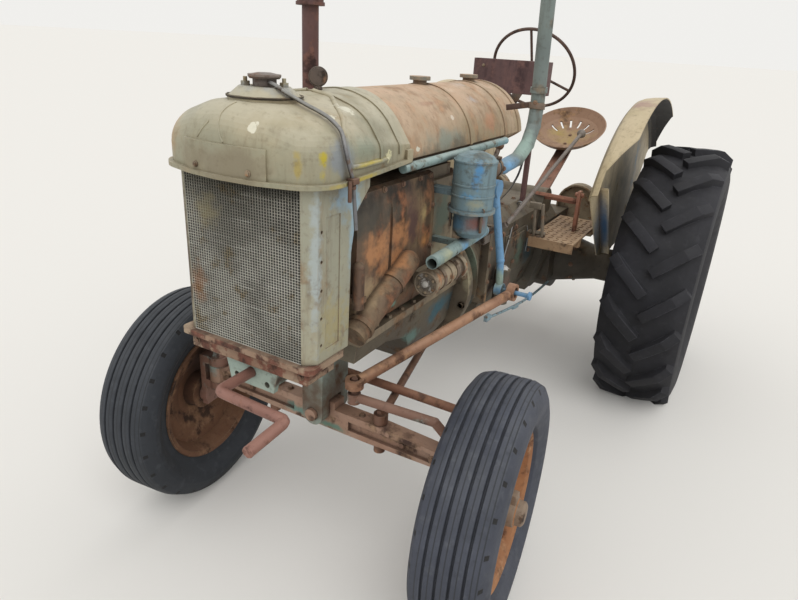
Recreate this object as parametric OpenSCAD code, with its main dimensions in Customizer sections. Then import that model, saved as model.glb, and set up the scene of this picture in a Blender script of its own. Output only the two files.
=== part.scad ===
// Vintage farm tractor, parked, with its wheels turned slightly to its left.
// X points to the tractor's left, Y to its rear and Z up; the ground is Z = 0.
// Places along the tractor are counted from the front face of the radiator.

/* [Stance] */
// Distance between the front and rear axles
wheel_base = 1600; // [1580:5:1640]
// Front axle behind the radiator's front face
front_axle_y = 290; // [280:5:310]
// Front wheels, middle to middle
front_track = 960; // [950:5:1000]
// Rear wheels, middle to middle
rear_track = 1236; // [1226:2:1256]

/* [Wheels] */
// Radius of a front tyre
front_tyre_r = 318; // [312:1:325]
// Width of a front tyre
front_tyre_w = 180; // [172:2:184]
// Bead seat radius of a front rim
front_bead_r = 190; // [188:1:192]
// Radius of a rear tyre over its bars
rear_tyre_r = 548; // [540:1:555]
// Width of a rear tyre
rear_tyre_w = 316; // [306:1:320]
// How far the soft rear tyres have sunk
rear_sag = 80; // [50:1:90]
// Bead seat radius of a rear rim
rear_bead_r = 305; // [300:1:310]
// Bars on each side of a rear tyre
bar_count = 20; // [16:1:22]
// Height of a bar above the tyre's crown
bar_height = 29; // [24:1:36]

/* [Radiator] */
// Width of the radiator core
core_w = 300; // [290:2:304]
// Height of the radiator core
core_h = 348; // [330:2:352]
// Height of the core's lower edge above the ground
core_z = 726; // [720:2:736]
// Width of the top tank at its front
top_w = 408; // [400:2:420]
// Length of the top tank
top_l = 386; // [380:2:394]
// Height of the top tank's crown over its flange
top_h = 146; // [140:2:150]

/* [Fuel tank] */
// Half width of the fuel tank
tank_r = 160; // [156:1:164]
// Length of the fuel tank
tank_l = 760; // [740:5:780]

/* [Stack] */
// Top of the exhaust stack above the ground, the tractor's highest point
stack_top = 1790; // [1760:5:1800]

/* [Steering] */
// Kingpin's distance from the middle plane
kingpin_x = 392; // [388:1:396]
// How far the parked wheels are turned to the left
steer_rest = 6; // [0:1:8]
// Steering arm, kingpin to ball
steer_arm_l = 282; // [276:1:286]
// Tie rod arm, kingpin to ball
tie_arm_l = 112; // [108:1:116]
// Radius of the steering wheel's rim
steering_r = 172; // [165:1:180]

/* [Hidden] */
$fn = 64;

// Gap left between seated pieces
seat_gap = 0.3;
// Running clearance at pins and balls
run_gap = 1;
sheet = 5;

rear_axle_y = front_axle_y + wheel_base;
// Rear face of the gearbox, where the axle casting is bolted on
gearbox_end = rear_axle_y - 190;
rear_wheel_z = rear_tyre_r - rear_sag;
front_wheel_z = front_tyre_r;
core_top = core_z + core_h;
core_d = 70;
shell_w = core_w + 56;
top_z = core_top + 18;
crown_z = top_z + top_h;
tank_y = top_l + seat_gap;
tank_end_y = tank_y + tank_l;
tank_centre_z = crown_z + 4 - tank_r;
belly_z = tank_centre_z - 40;
engine_y = 207;
pan_top = 681.7;
plate_low = core_z - 106;
saddle_top = plate_low + 14;
gearbox_top = 806;
handle_reach = 205;
seat_y = rear_axle_y + 421;
seat_r = 180;
seat_z = 998;
seat_dish = 72;
seat_tilt = 28;
// The part's middle along Y, which the frame's origin lies under
front_y = -handle_reach;
back_y = seat_y + seat_r * cos(seat_tilt);
mid_y = (front_y + back_y) / 2;

beam_h = 58;
beam_d = 44;
beam_z = 404;
boss_r = 30;
kingpin_r = 14;
fork_h = 96;
pivot_z = beam_z + beam_h / 2;

steer_ball_z = 546;
tie_z = 476;
drop_arm_l = 300;
// The drop arm hangs plumb when the wheels point straight ahead
drop_swing = asin(steer_arm_l * sin(steer_rest) / drop_arm_l);
drop_pivot = [200, 860, 957];
link_rear = [303, drop_pivot[1] - drop_arm_l * sin(drop_swing), drop_pivot[2] - drop_arm_l * cos(drop_swing)];
drop_eye_x = 261;
// How far the drag link slides along its pin between the locks
link_slide = 38;
rod_r = 12;
crank_r = 12;
crank_z = 655;
ball_pin_r = 8;
ball_socket_r = 13;
drop_pin_r = 7;

// Cylinder along X, centred on its own middle
module x_cyl(r, l) {
    rotate([0, 90, 0])
        cylinder(r = r, h = l, center = true);
}

// Cylinder along Y, centred on its own middle
module y_cyl(r, l) {
    rotate([90, 0, 0])
        cylinder(r = r, h = l, center = true);
}

// Round bar between two points
module bar(a, b, r) {
    d = b - a;
    len = norm(d);
    translate(a)
        rotate([0, acos(d[2] / len), atan2(d[1], d[0])])
            cylinder(r = r, h = len);
}

// Round bar through a list of points, with a ball at each bend
module bent_bar(points, r, swell = 0.4) {
    for (i = [0 : len(points) - 2])
        bar(points[i], points[i + 1], r);
    for (i = [1 : len(points) - 2])
        translate(points[i])
            rotate([23, 31, 0])
                sphere(r = r + swell);
}

// Box from its lowest corner to its highest
module block(low, high) {
    translate(low)
        cube(high - low);
}

// Outline in Y and Z drawn out along X between two places
module side_plate(x0, x1) {
    translate([x0, 0, 0])
        rotate([90, 0, 90])
            linear_extrude(height = x1 - x0)
                children();
}

// Outline in X and Z drawn out along Y between two places
module cross_plate(y0, y1) {
    translate([0, y1, 0])
        rotate([90, 0, 0])
            linear_extrude(height = y1 - y0)
                children();
}

// Rectangle with round corners, by its lowest corner and size
module round_rect(x, y, w, h, r) {
    union() {
        translate([x + r, y])
            square([w - 2 * r, h]);
        translate([x, y + r])
            square([w, h - 2 * r]);
        for (cx = [x + r, x + w - r], cy = [y + r, y + h - r])
            translate([cx, cy])
                circle(r = r);
    }
}

// Left and right copies of a piece
module both_sides() {
    children();
    mirror([1, 0, 0])
        children();
}

// Hexagon head on a shank that goes into the piece behind it
module hex_bolt(r, h) {
    cylinder(r = r, h = h, $fn = 6);
}

module radiator_core() {
    tube_pitch = 12;
    tube_n = floor(core_w / tube_pitch) - 1;
    color("darkgray")
        difference() {
            block([-core_w / 2, 0, core_z], [core_w / 2, core_d, top_z - seat_gap]);
            for (i = [1 : tube_n])
                translate([-core_w / 2 + i * tube_pitch - 2, -1, core_z + 6])
                    cube([4, 5, core_h + 4]);
        }
}

module radiator_bottom() {
    flange_t = 13;
    tank_h = 34;
    color("rosybrown") {
        difference() {
            union() {
                translate([0, 0, core_z - seat_gap - flange_t])
                    linear_extrude(height = flange_t)
                        round_rect(-shell_w / 2 - 6, -14, shell_w + 12, 128, 16);
                block([-shell_w / 2 + 14, 2, core_z - seat_gap - flange_t - tank_h],
                    [shell_w / 2 - 14, 96, core_z - seat_gap - flange_t + 1]);
            }
            block([-90, 6, 0], [90, 120, core_z - flange_t - 6]);
        }
    }
}

module radiator_side() {
    rear_low = 128;
    rear_high = 196;
    face_x = shell_w / 2;
    side_top = core_top + 17.7;
    difference() {
        side_plate(core_w / 2 + seat_gap, face_x)
            polygon([[0, core_z], [core_d + 20, core_z], [rear_low, core_z], [rear_low + 4, side_top - 150],
                [rear_low + 20, side_top - 70], [rear_high, side_top - 24], [rear_high, side_top], [0, side_top]]);
        // Front edge cut back to a slope
        translate([face_x, 0, core_z - 1])
            linear_extrude(height = side_top - core_z + 2)
                polygon([[-27, -1], [-23, -1], [1, 20], [1, -1]]);
        // Hollow behind the face
        block([core_w / 2 - 1, core_d + 6, core_z - 1], [face_x - sheet, rear_high + 2, side_top + 1]);
        // Shallow sunk panel in the face
        block([face_x - 2, 46, core_z + 26], [face_x + 1, 92, side_top - 60]);
        // Small holes along the front strip
        for (z = [core_z + 40 : 60 : side_top - 60])
            translate([face_x - 4, 31, z])
                x_cyl(3.5, 20);
    }
}

module radiator_sides() {
    color("lightsteelblue")
        both_sides()
            radiator_side();
}

// Half widths and fronts of the top tank's body, from the middle outwards:
// place along X, middle of the rounding along Y, its radius and how far its top is below the crown
tank_nose = [[0, 36, 80, 3], [66, 40, 78, 10], [top_w / 2 - 80, 54, 76, 28]];
nose_x = 0;
nose_y = 1;
nose_r = 2;
nose_drop = 3;

// Cast body of the top tank: a bowed, rounded front that runs back into the fuel tank's round section
module tank_body(grow) {
    hull() {
        for (p = tank_nose, s = [-1, 1])
            translate([s * p[nose_x], p[nose_y], 0]) {
                translate([0, 0, crown_z - p[nose_drop] - p[nose_r]])
                    sphere(r = p[nose_r] + grow, $fn = 48);
                translate([0, 0, top_z])
                    cylinder(r = p[nose_r] + grow, h = 20, $fn = 48);
            }
        translate([0, top_l - 1, tank_centre_z])
            rotate([90, 0, 0])
                cylinder(r = tank_r + 2 + grow, h = 2, center = true, $fn = 96);
        block([-tank_r - 2 - grow, top_l - 4, top_z], [tank_r + 2 + grow, top_l, top_z + 40]);
    }
}

// Thin lip around the foot of the top tank
module tank_lip(grow, t) {
    hull() {
        for (p = tank_nose, s = [-1, 1])
            translate([s * p[nose_x], p[nose_y], top_z])
                cylinder(r = p[nose_r] + grow, h = t, $fn = 48);
        block([-tank_r - 2 - grow, top_l - 4, top_z], [tank_r + 2 + grow, top_l, top_z + t]);
    }
}

neck_y = 84;
neck_top = crown_z + 16;

module top_tank() {
    lip_t = 9;
    rib_w = 9;
    panel_hw = 102;
    panel_top = top_z + 66;
    foot_r = 72;
    foot_h = 19;
    color("darkkhaki") {
        intersection() {
            union() {
                tank_body(0);
                // Raised bands around the rear half
                intersection() {
                    tank_body(3);
                    for (y = [226, 322])
                        block([-top_w, y, top_z + 26], [top_w, y + rib_w, crown_z + 20]);
                }
                // Plain framed panel on the nose
                difference() {
                    intersection() {
                        tank_body(4);
                        block([-panel_hw, -90, top_z + 2], [panel_hw, 20, panel_top]);
                    }
                    intersection() {
                        translate([0, 4, 0])
                            tank_body(4 + 4 - 2);
                        block([-panel_hw + 7, -90, top_z + 18], [panel_hw - 7, 20, panel_top - 7]);
                    }
                }
            }
            block([-top_w, -90, top_z], [top_w, top_l, crown_z + 40]);
        }
        tank_lip(9, lip_t);
        both_sides()
            block([tank_r - 16, top_l - 26, top_z + 4], [tank_r + 12, top_l, top_z + 30]);
        // Low domed seat of the filler neck, with a bolt on each side
        translate([0, neck_y, neck_top - foot_h])
            cylinder(r1 = foot_r, r2 = 50, h = foot_h);
        translate([0, neck_y, neck_top - foot_h - 14])
            cylinder(r = foot_r, h = 15);
        for (a = [27, 207])
            translate([38 * cos(a), neck_y + 38 * sin(a), neck_top - 1]) {
                hex_bolt(9, 9);
                cylinder(r = 4, h = 17);
            }
    }
}

module filler_cap() {
    color("slategray") {
        translate([0, neck_y, neck_top + seat_gap])
            cylinder(r = 23, h = 15);
        translate([0, neck_y, neck_top + 14])
            cylinder(r1 = 29, r2 = 32, h = 4);
        translate([0, neck_y, neck_top + 17.9])
            cylinder(r = 32, h = 4);
        translate([0, neck_y, neck_top + 21.8])
            cylinder(r1 = 29, r2 = 14, h = 3);
    }
}

module thermometer() {
    gauge_y = 262;
    gauge_z = crown_z + 30;
    gauge_r = 21;
    color("dimgray")
        translate([-6, gauge_y, 0]) {
            translate([0, 0, crown_z + 3.3])
                cylinder(r = 6, h = 12);
            translate([0, 0, crown_z + 3.3])
                cylinder(r = 10, h = 6, $fn = 6);
            translate([0, 0, gauge_z])
                rotate([90, 0, 36])
                    cylinder(r = gauge_r, h = 13, center = true);
            translate([0, 0, gauge_z])
                rotate([90, 0, 36])
                    cylinder(r = gauge_r - 3, h = 17, center = true);
        }
}

module overflow_tube() {
    r = 5;
    x_side = top_w / 2 + 8;
    run_y = neck_y + 18;
    color("darkgray")
        bent_bar([[26, neck_y - 6, neck_top + 8.5], [70, neck_y + 8, neck_top + 3], [120, run_y, crown_z - 13],
            [169, run_y, crown_z - 33], [192, run_y, crown_z - 53], [206, run_y, crown_z - 80],
            [x_side, run_y, crown_z - 112], [x_side, run_y, top_z - 16], [x_side - 8, run_y + 4, top_z - 96]], r, 0.9);
}

module front_bracket() {
    plate_y = 14;
    lug_r = 32;
    plate_t = 14;
    low = plate_low;
    high = core_z - 19.3;
    color("darkseagreen") {
        difference() {
            union() {
                cross_plate(plate_y, plate_y + plate_t)
                    polygon([[-82, high], [82, high], [62, low], [-62, low]]);
                block([-58, plate_y + plate_t - 1, low + 10], [58, engine_y - 1, high]);
                block([-40, 150, low - 20], [40, front_axle_y + 62, saddle_top]);
            }
            translate([0, plate_y, crank_z])
                y_cyl(crank_r + seat_gap, 290);
            for (p = [[-60, high - 22], [60, high - 22], [-44, low + 16], [44, low + 16]])
                translate([p[0], plate_y, p[1]])
                    y_cyl(7, 60);
        }
        // Saddle that the front axle hangs from
        difference() {
            union() {
                block([-lug_r, front_axle_y - 58, pivot_z - 4], [lug_r, front_axle_y + 58, saddle_top]);
                translate([0, front_axle_y, pivot_z - 4])
                    y_cyl(lug_r, 116);
            }
            block([-60, front_axle_y - 27, 0], [60, front_axle_y + 27, pivot_z + 34]);
            translate([0, front_axle_y, pivot_z - 4])
                y_cyl(18, 200);
        }
    }
}

module starting_handle() {
    z = crank_z;
    r = crank_r;
    lap = 4;
    elbow = [0, -86, z];
    crank = [186, -92, z];
    color("rosybrown") {
        bar([0, 120, z], elbow, r);
        bar(elbow + [0, lap, 0], crank, r);
        bar(crank + [0, lap, 0], [crank[0] + 4, front_y, crank[2] - 4], r - 1);
        for (p = [elbow, crank])
            translate(p)
                rotate([10, 20, 0])
                    sphere(r = r + 2);
    }
}

module front_axle() {
    end_x = kingpin_x;
    color("sienna") {
        difference() {
            union() {
                cross_plate(front_axle_y - beam_d / 2, front_axle_y + beam_d / 2)
                    polygon([[-end_x, beam_z - 22], [-150, beam_z - beam_h / 2], [150, beam_z - beam_h / 2],
                        [end_x, beam_z - 22], [end_x, beam_z + 22], [150, beam_z + beam_h / 2 + 4],
                        [-150, beam_z + beam_h / 2 + 4], [-end_x, beam_z + 22]]);
                both_sides()
                    translate([end_x, front_axle_y, beam_z - 26])
                        cylinder(r = boss_r, h = 52);
                block([-46, front_axle_y - beam_d / 2, beam_z], [46, front_axle_y + beam_d / 2, pivot_z + 26]);
            }
            both_sides()
                translate([end_x, front_axle_y, beam_z - 60])
                    cylinder(r = kingpin_r + run_gap, h = 120);
            // Webs pressed in from the front and the back
            for (s = [-1, 1], f = [-1, 1])
                translate([s * 212, front_axle_y + f * (beam_d / 2), beam_z])
                    cube([244, 22, 26], center = true);
            translate([0, front_axle_y, pivot_z - 4])
                y_cyl(18 + run_gap, 200);
        }
        translate([0, front_axle_y, pivot_z - 4])
            y_cyl(17, 136);
    }
}

module radius_rods() {
    eye_x = 176;
    top_of_beam = beam_z + beam_h / 2 + 4;
    rear = [0, 880, 425];
    color("saddlebrown") {
        both_sides() {
            translate([eye_x, front_axle_y, top_of_beam + seat_gap])
                cylinder(r = 19, h = 28);
            translate([eye_x, front_axle_y, top_of_beam + seat_gap + 27])
                hex_bolt(12, 12);
            translate([eye_x, front_axle_y, beam_z - beam_h / 2 - seat_gap - 24])
                cylinder(r = 15, h = 24);
            bar([eye_x, front_axle_y + 4, top_of_beam + seat_gap + 14], [26, rear[1] - 20, rear[2]], 11);
        }
        translate(rear)
            sphere(r = 34);
    }
}

// A knuckle about its kingpin at the origin; the wheel lies towards +X
module knuckle() {
    wheel_x = front_track / 2 - kingpin_x;
    arm_t = 18;
    // Fork lugs above and below the beam's boss
    translate([0, 0, beam_z + 26 + run_gap])
        cylinder(r = boss_r, h = 26);
    translate([0, 0, beam_z - 26 - run_gap - 26])
        cylinder(r = boss_r, h = 26);
    translate([0, 0, beam_z - 60])
        cylinder(r = kingpin_r, h = 128);
    translate([0, 0, beam_z + 52])
        cylinder(r1 = 24, r2 = 15, h = 24);
    // Back of the fork, outside the boss
    block([boss_r + 5, -24, front_wheel_z - 30], [boss_r + 23, 24, beam_z + 26 + run_gap + 26]);
    block([0, -24, beam_z + 26 + run_gap], [boss_r + 23, 24, beam_z + 26 + run_gap + 26]);
    block([0, -24, beam_z - 26 - run_gap - 26], [boss_r + 23, 24, beam_z - 26 - run_gap]);
    // Spindle that carries the wheel
    translate([0, 0, front_wheel_z]) {
        translate([(boss_r + 5 + wheel_x - 30) / 2, 0, 0])
            x_cyl(30, wheel_x - 30 - boss_r - 5);
        translate([(boss_r + 5 + wheel_x + 50) / 2, 0, 0])
            x_cyl(18, wheel_x + 50 - boss_r - 5);
    }
    // Arm towards the rear for the tie rod, with its ball pin
    side_plate(-11, 11)
        polygon([[10, beam_z - 53], [10, beam_z - 30], [boss_r + 6, beam_z - 30], [tie_arm_l, tie_z - 16],
            [tie_arm_l + 18, tie_z - 16], [tie_arm_l + 18, tie_z - 16 - arm_t], [tie_arm_l, tie_z - 18 - arm_t],
            [boss_r + 22, beam_z - 53]]);
    translate([0, tie_arm_l, tie_z - 24])
        cylinder(r = 9, h = 36);
}

module knuckle_left() {
    color("peru")
        translate([kingpin_x, front_axle_y, 0])
            rotate([0, 0, steer_rest]) {
                knuckle();
                // Long arm inwards for the drag link, with its ball pin
                bent_bar([[-2, 0, beam_z + 42], [-60, 0, steer_ball_z - 46], [-steer_arm_l, 0, steer_ball_z - 40]], 12);
                translate([-steer_arm_l, 0, steer_ball_z - 56])
                    cylinder(r = 17, h = 28);
                translate([-steer_arm_l, 0, steer_ball_z - 40])
                    cylinder(r = ball_pin_r, h = 54);
                translate([-steer_arm_l, 0, steer_ball_z])
                    rotate([10, 20, 0])
                        sphere(r = ball_socket_r - seat_gap);
            }
}

module knuckle_right() {
    color("peru")
        translate([-kingpin_x, front_axle_y, 0])
            rotate([0, 0, steer_rest])
                mirror([1, 0, 0])
                    knuckle();
}

module tie_rod() {
    tip = [-tie_arm_l * sin(steer_rest), front_axle_y + tie_arm_l * cos(steer_rest), tie_z];
    color("chocolate")
        translate(tip)
            difference() {
                union() {
                    x_cyl(rod_r, 2 * kingpin_x - 30);
                    for (s = [-1, 1])
                        translate([s * kingpin_x, 0, -11])
                            cylinder(r = 18, h = 22);
                }
                for (s = [-1, 1])
                    translate([s * kingpin_x, 0, -20])
                        cylinder(r = 9 + run_gap, h = 40);
            }
}

module drag_link() {
    front = [kingpin_x - steer_arm_l * cos(steer_rest), front_axle_y - steer_arm_l * sin(steer_rest), steer_ball_z];
    socket_r = 24;
    color("chocolate")
        difference() {
            union() {
                bar(front + [5, 14, 3], link_rear - [3, 14, 3], 15);
                translate(front - [0, 0, 12])
                    cylinder(r = socket_r, h = 24);
                translate(link_rear)
                    x_cyl(socket_r + 3, 24);
            }
            translate(front - [0, 0, 30])
                cylinder(r = ball_socket_r, h = 60);
            translate(link_rear)
                x_cyl(drop_pin_r + 10, 60);
        }
}

module drop_arm() {
    eye = [drop_eye_x, link_rear[1], link_rear[2]];
    knee = [drop_eye_x - 8, link_rear[1] + 2, link_rear[2] + 90];
    pin_end = link_rear[0] + link_slide + 18;
    color("steelblue") {
        translate(drop_pivot)
            x_cyl(27, 30);
        bar(drop_pivot, knee, 12);
        bar(knee + [0, 0, 3], eye, 11);
        translate(knee)
            rotate([10, 20, 0])
                sphere(r = 13);
        translate(eye)
            x_cyl(20, 24);
        // Long pin that the drag link's rear socket rides on
        translate([(eye[0] + pin_end) / 2, eye[1], eye[2]])
            x_cyl(drop_pin_r, pin_end - eye[0]);
        translate([pin_end, eye[1], eye[2]])
            x_cyl(13, 8);
    }
}

// Ribbed road tyre about the X axis, middle at the origin
module front_tyre() {
    hw = front_tyre_w / 2;
    tread = hw - 17;
    rib_pitch = 2 * tread / 5;
    groove_d = 8;
    groove_hw = 3.5;
    inner = front_bead_r + seat_gap;
    grooves = [for (i = [-2 : 2]) if (i != 0) (i < 0 ? i + 0.5 : i - 0.5) * rib_pitch];
    crown = [for (g = grooves) each [[front_tyre_r, g - groove_hw], [front_tyre_r - groove_d, g - groove_hw + 1.5],
        [front_tyre_r - groove_d, g + groove_hw - 1.5], [front_tyre_r, g + groove_hw]]];
    rotate([0, 90, 0])
        rotate_extrude($fn = 96)
            polygon(concat([[inner, -53], [inner + 18, -59.5], [inner + 34, -63], [inner + 50, -hw + 14],
                [inner + 66, -hw + 2], [inner + 80, -hw], [front_tyre_r - 28, -hw + 6], [front_tyre_r - 9, -tread]], crown,
                [[front_tyre_r - 9, tread], [front_tyre_r - 28, hw - 6], [inner + 80, hw], [inner + 62, hw - 1],
                [inner + 40, hw - 8], [inner + 20, 74], [inner + 14, 62], [inner, 53]]));
}

// Dished disc wheel with its hub, the outside towards +X
module front_rim() {
    bore_r = 18 + run_gap;
    b = front_bead_r;
    rotate([0, 90, 0]) {
        rotate_extrude($fn = 96)
            polygon([[b - 5, -58], [b + 8, -62], [b + 11, -58], [b - seat_gap, -54], [b - seat_gap, 54], [b + 9, 60],
                [b + 8, 66], [b - 5, 59], [b - 18, 30], [b - 40, 2], [b - 62, -6], [112, 2], [84, 16], [58, 20],
                [58, 10], [84, 6], [110, -8], [b - 60, -16], [b - 24, -16], [b - 18, -30]]);
        difference() {
            union() {
                translate([0, 0, -26])
                    cylinder(r = 54, h = 40);
                translate([0, 0, 13])
                    cylinder(r = 66, h = 12);
                translate([0, 0, 24])
                    cylinder(r1 = 53, r2 = 49, h = 24);
                translate([0, 0, 47])
                    cylinder(r1 = 37, r2 = 35, h = 30);
                translate([0, 0, 76.9])
                    cylinder(r1 = 35, r2 = 22, h = 8);
                for (a = [0 : 60 : 300])
                    rotate([0, 0, a])
                        translate([70, 0, 18])
                            hex_bolt(8, 12);
            }
            translate([0, 0, -40])
                cylinder(r = bore_r, h = 94);
        }
    }
}

// Places a front wheel piece on its spindle
module at_front_wheel(side) {
    translate([side * kingpin_x, front_axle_y, front_wheel_z])
        rotate([0, 0, steer_rest])
            translate([side * (front_track / 2 - kingpin_x), 0, 0])
                mirror([side < 0 ? 1 : 0, 0, 0])
                    children();
}

module front_rim_left() {
    color("sienna")
        at_front_wheel(1)
            front_rim();
}

module front_rim_right() {
    color("sienna")
        at_front_wheel(-1)
            front_rim();
}

module front_tyre_left() {
    color("dimgray")
        at_front_wheel(1)
            front_tyre();
}

module front_tyre_right() {
    color("dimgray")
        at_front_wheel(-1)
            front_tyre();
}

module engine() {
    color("tan") {
        block([-128, 207, 700], [128, 736, 1010]);
        block([-112, 214, 1009], [112, 720, belly_z - seat_gap]);
        block([-158, 207, 682], [158, 742, 702]);
        both_sides()
            for (y = [235 : 62 : 700])
                translate([146, y, 701])
                    hex_bolt(8, 9);
        // Fan shaft and lower pulley on the front face
        translate([0, 190, 900])
            y_cyl(26, 40);
        translate([0, 172, 900])
            y_cyl(62, 18);
        // Water outlet towards the top tank
        translate([0, 262, 1000])
            cylinder(r = 32, h = top_z - seat_gap - 1000);
    }
}

module oil_pan() {
    color("darkolivegreen")
        intersection() {
            side_plate(-160, 160)
                polygon([[engine_y, pan_top], [742, pan_top], [742, 560], [660, 492], [540, 492], [470, 600],
                    [front_axle_y + 64, saddle_top + seat_gap], [engine_y, saddle_top + seat_gap]]);
            cross_plate(200, 750)
                polygon([[-150, pan_top], [150, pan_top], [132, 560], [96, 490], [-96, 490], [-132, 560]]);
        }
}

module manifold_cover() {
    x = 128 + seat_gap;
    color("peru") {
        difference() {
            cross_plate(192, 556)
                polygon([[x, 712], [x + 14, 712], [x + 24, 760], [x + 24, 960], [x + 14, 1040], [x, 1046]]);
            block([x + 18, 330, 740], [x + 30, 344, 1050]);
        }
        // Lower water pipe, rising to the rear, with its two hose bands
        bar([163, 172, 726], [164, 404, 842], 30);
        bar([163.2, 196, 738], [163.3, 206, 743], 34);
        bar([163.6, 330, 805], [163.7, 340, 810], 34);
        translate([164, 404, 842])
            rotate([17, 33, 0])
                sphere(r = 30.4);
        // Small upright pipe with a round top
        translate([170, 176, 796])
            cylinder(r = 13, h = 96);
        translate([170, 176, 892])
            rotate([17, 33, 0])
                sphere(r = 13.4);
        block([140, 168, 806], [176, 200, 820]);
    }
}

module magneto() {
    c = [212, 0, 790];
    front = 420;
    color("darkgoldenrod") {
        translate([c[0], front + 88, c[2]])
            y_cyl(30, 172);
        translate([c[0], front + 8, c[2]])
            y_cyl(34, 16);
        translate([c[0], front + 96, c[2]])
            y_cyl(33, 14);
        translate([c[0], front + 166, c[2]])
            y_cyl(36, 18);
        block([152.3 + seat_gap, front + 40, c[2] - 26], [c[0], front + 150, c[2] + 10]);
    }
}

// Pressed rails that cover the pipes along the left side and under the tank
module cover_rails() {
    top_r = 11;
    low_r = 17;
    color("lightblue") {
        translate([tank_r + 6, (352 + 990) / 2, top_z - top_r - seat_gap])
            y_cyl(top_r, 990 - 352);
        difference() {
            bar([236, 396, 858], [222, 746, 858], low_r);
            bar([236.4, 386, 855], [232, 500, 855], low_r - 4);
        }
        block([128, 600, 842], [228, 622, 856]);
    }
}

cleaner_c = [243, 590];
cleaner_r = 55;

module air_cleaner() {
    c = cleaner_c;
    bowl_r = 45;
    color("cadetblue") {
        // Lower bowl, the broad ring it hangs from, the case and its domed top
        translate([c[0], c[1], 884])
            cylinder(r1 = 34, r2 = bowl_r, h = 14);
        translate([c[0], c[1], 897.9])
            cylinder(r = bowl_r, h = 54);
        translate([c[0], c[1], 950])
            cylinder(r = cleaner_r + 7, h = 9);
        translate([c[0], c[1], 958])
            cylinder(r = cleaner_r, h = 124);
        translate([c[0], c[1], 1081.9])
            cylinder(r1 = cleaner_r, r2 = 45, h = 11);
        translate([c[0], c[1], 1092.8])
            cylinder(r1 = 45, r2 = 22, h = 9);
        block([128 + seat_gap, c[1] - 20, 985], [c[0] - 30, c[1] + 20, 1000]);
    }
}

module intake_pipe() {
    r = 19;
    up = [302, 838, 1206];
    lean = 5;
    top = 1640;
    color("darkseagreen") {
        difference() {
            bent_bar([[258, 606, 1058], [289, 664, 1061], [300, 734, 1074], [302, 796, 1106], [302, 830, 1152], up,
                [302, up[1] - (top - up[2]) * tan(lean), top]], r, 0.9);
            translate([cleaner_c[0], cleaner_c[1], 900])
                cylinder(r = cleaner_r + seat_gap, h = 220);
        }
        translate([302, up[1] - 40 * tan(lean), up[2] + 40])
            rotate([lean, 0, 0])
                cylinder(r = r + 4, h = 14, center = true);
        translate([302, up[1] - (top - up[2]) * tan(lean), top - 1])
            cylinder(r1 = 26, r2 = 52, h = 22);
        translate([302, up[1] - (top - up[2]) * tan(lean), top + 20])
            cylinder(r1 = 52, r2 = 20, h = 20);
    }
}

module exhaust() {
    c = [-191, 474];
    color("firebrick") {
        translate([c[0], c[1], 960])
            cylinder(r = 21, h = 460);
        block([-c[0] * -1 - 24, c[1] - 24, 930], [-128 - seat_gap, c[1] + 24, 976]);
        translate([c[0], c[1], 1418])
            cylinder(r = 36, h = 8);
        translate([c[0], c[1], 1425])
            cylinder(r = 33, h = 300);
        translate([c[0], c[1], 1724])
            cylinder(r = 21, h = stack_top - 1724);
    }
}

// Outline of the fuel tank: a round crown over a flatter belly
module tank_section(grow) {
    belly_r = 262;
    intersection() {
        translate([0, tank_centre_z])
            circle(r = tank_r + grow, $fn = 120);
        translate([0, belly_z + belly_r])
            circle(r = belly_r + grow, $fn = 120);
    }
}

module fuel_tank() {
    cap_ys = [top_l + 330, top_l + 656];
    end_bulge = 28;
    end_r = (tank_r * tank_r + end_bulge * end_bulge) / (2 * end_bulge);
    color("rosybrown") {
        cross_plate(tank_y, tank_end_y)
            tank_section(0);
        for (y = [tank_y + 350, tank_end_y - 150, tank_end_y - 34])
            cross_plate(y, y + 11)
                tank_section(3);
        // Domed rear end
        intersection() {
            cross_plate(tank_end_y - 1, tank_end_y + end_bulge + 1)
                tank_section(-2);
            translate([0, tank_end_y + end_bulge - end_r, tank_centre_z])
                rotate([10, 20, 0])
                    sphere(r = end_r, $fn = 96);
        }
        for (y = cap_ys) {
            translate([0, y, crown_z - 4])
                cylinder(r = 19, h = 20);
            translate([0, y, crown_z + 14])
                cylinder(r = 29, h = 10);
        }
    }
}

module clutch_housing() {
    color("lightslategray") {
        translate([0, 742 + seat_gap + 16, 660])
            y_cyl(196, 32);
        intersection() {
            translate([0, 900, 660])
                rotate([90, 0, 0])
                    cylinder(r1 = 132, r2 = 186, h = 130, center = true);
            block([-186, 760, 460], [186, 980, 800]);
        }
        block([-120, 770, 540], [120, 1010, 800]);
        block([-150, 1000, 520], [150, 1022, 800]);
        translate([0, 880, 459.3])
            cylinder(r = 26, h = 100);
    }
}

module gearbox() {
    color("darkolivegreen") {
        cross_plate(1022 + seat_gap, gearbox_end - 140)
            polygon([[-138, 560], [-100, 440], [100, 440], [138, 560], [138, 760], [92, 806], [-92, 806], [-138, 760]]);
        cross_plate(gearbox_end - 141, gearbox_end)
            polygon([[-170, 560], [-120, 390], [120, 390], [170, 560], [170, 700], [110, 780], [-110, 780], [-170, 700]]);
        translate([0, gearbox_end - 100, 770])
            x_cyl(58, 300);
        // Small filter canister on its bracket
        translate([176, 1088, 506])
            cylinder(r = 28, h = 126);
        translate([176, 1088, 631])
            cylinder(r1 = 24, r2 = 12, h = 12);
        block([120, 1076, 566], [160, 1100, 584]);
    }
}

housing_r = 150;
axle_case_top = 700;
drawbar_top = rear_wheel_z - housing_r - 8;

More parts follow.
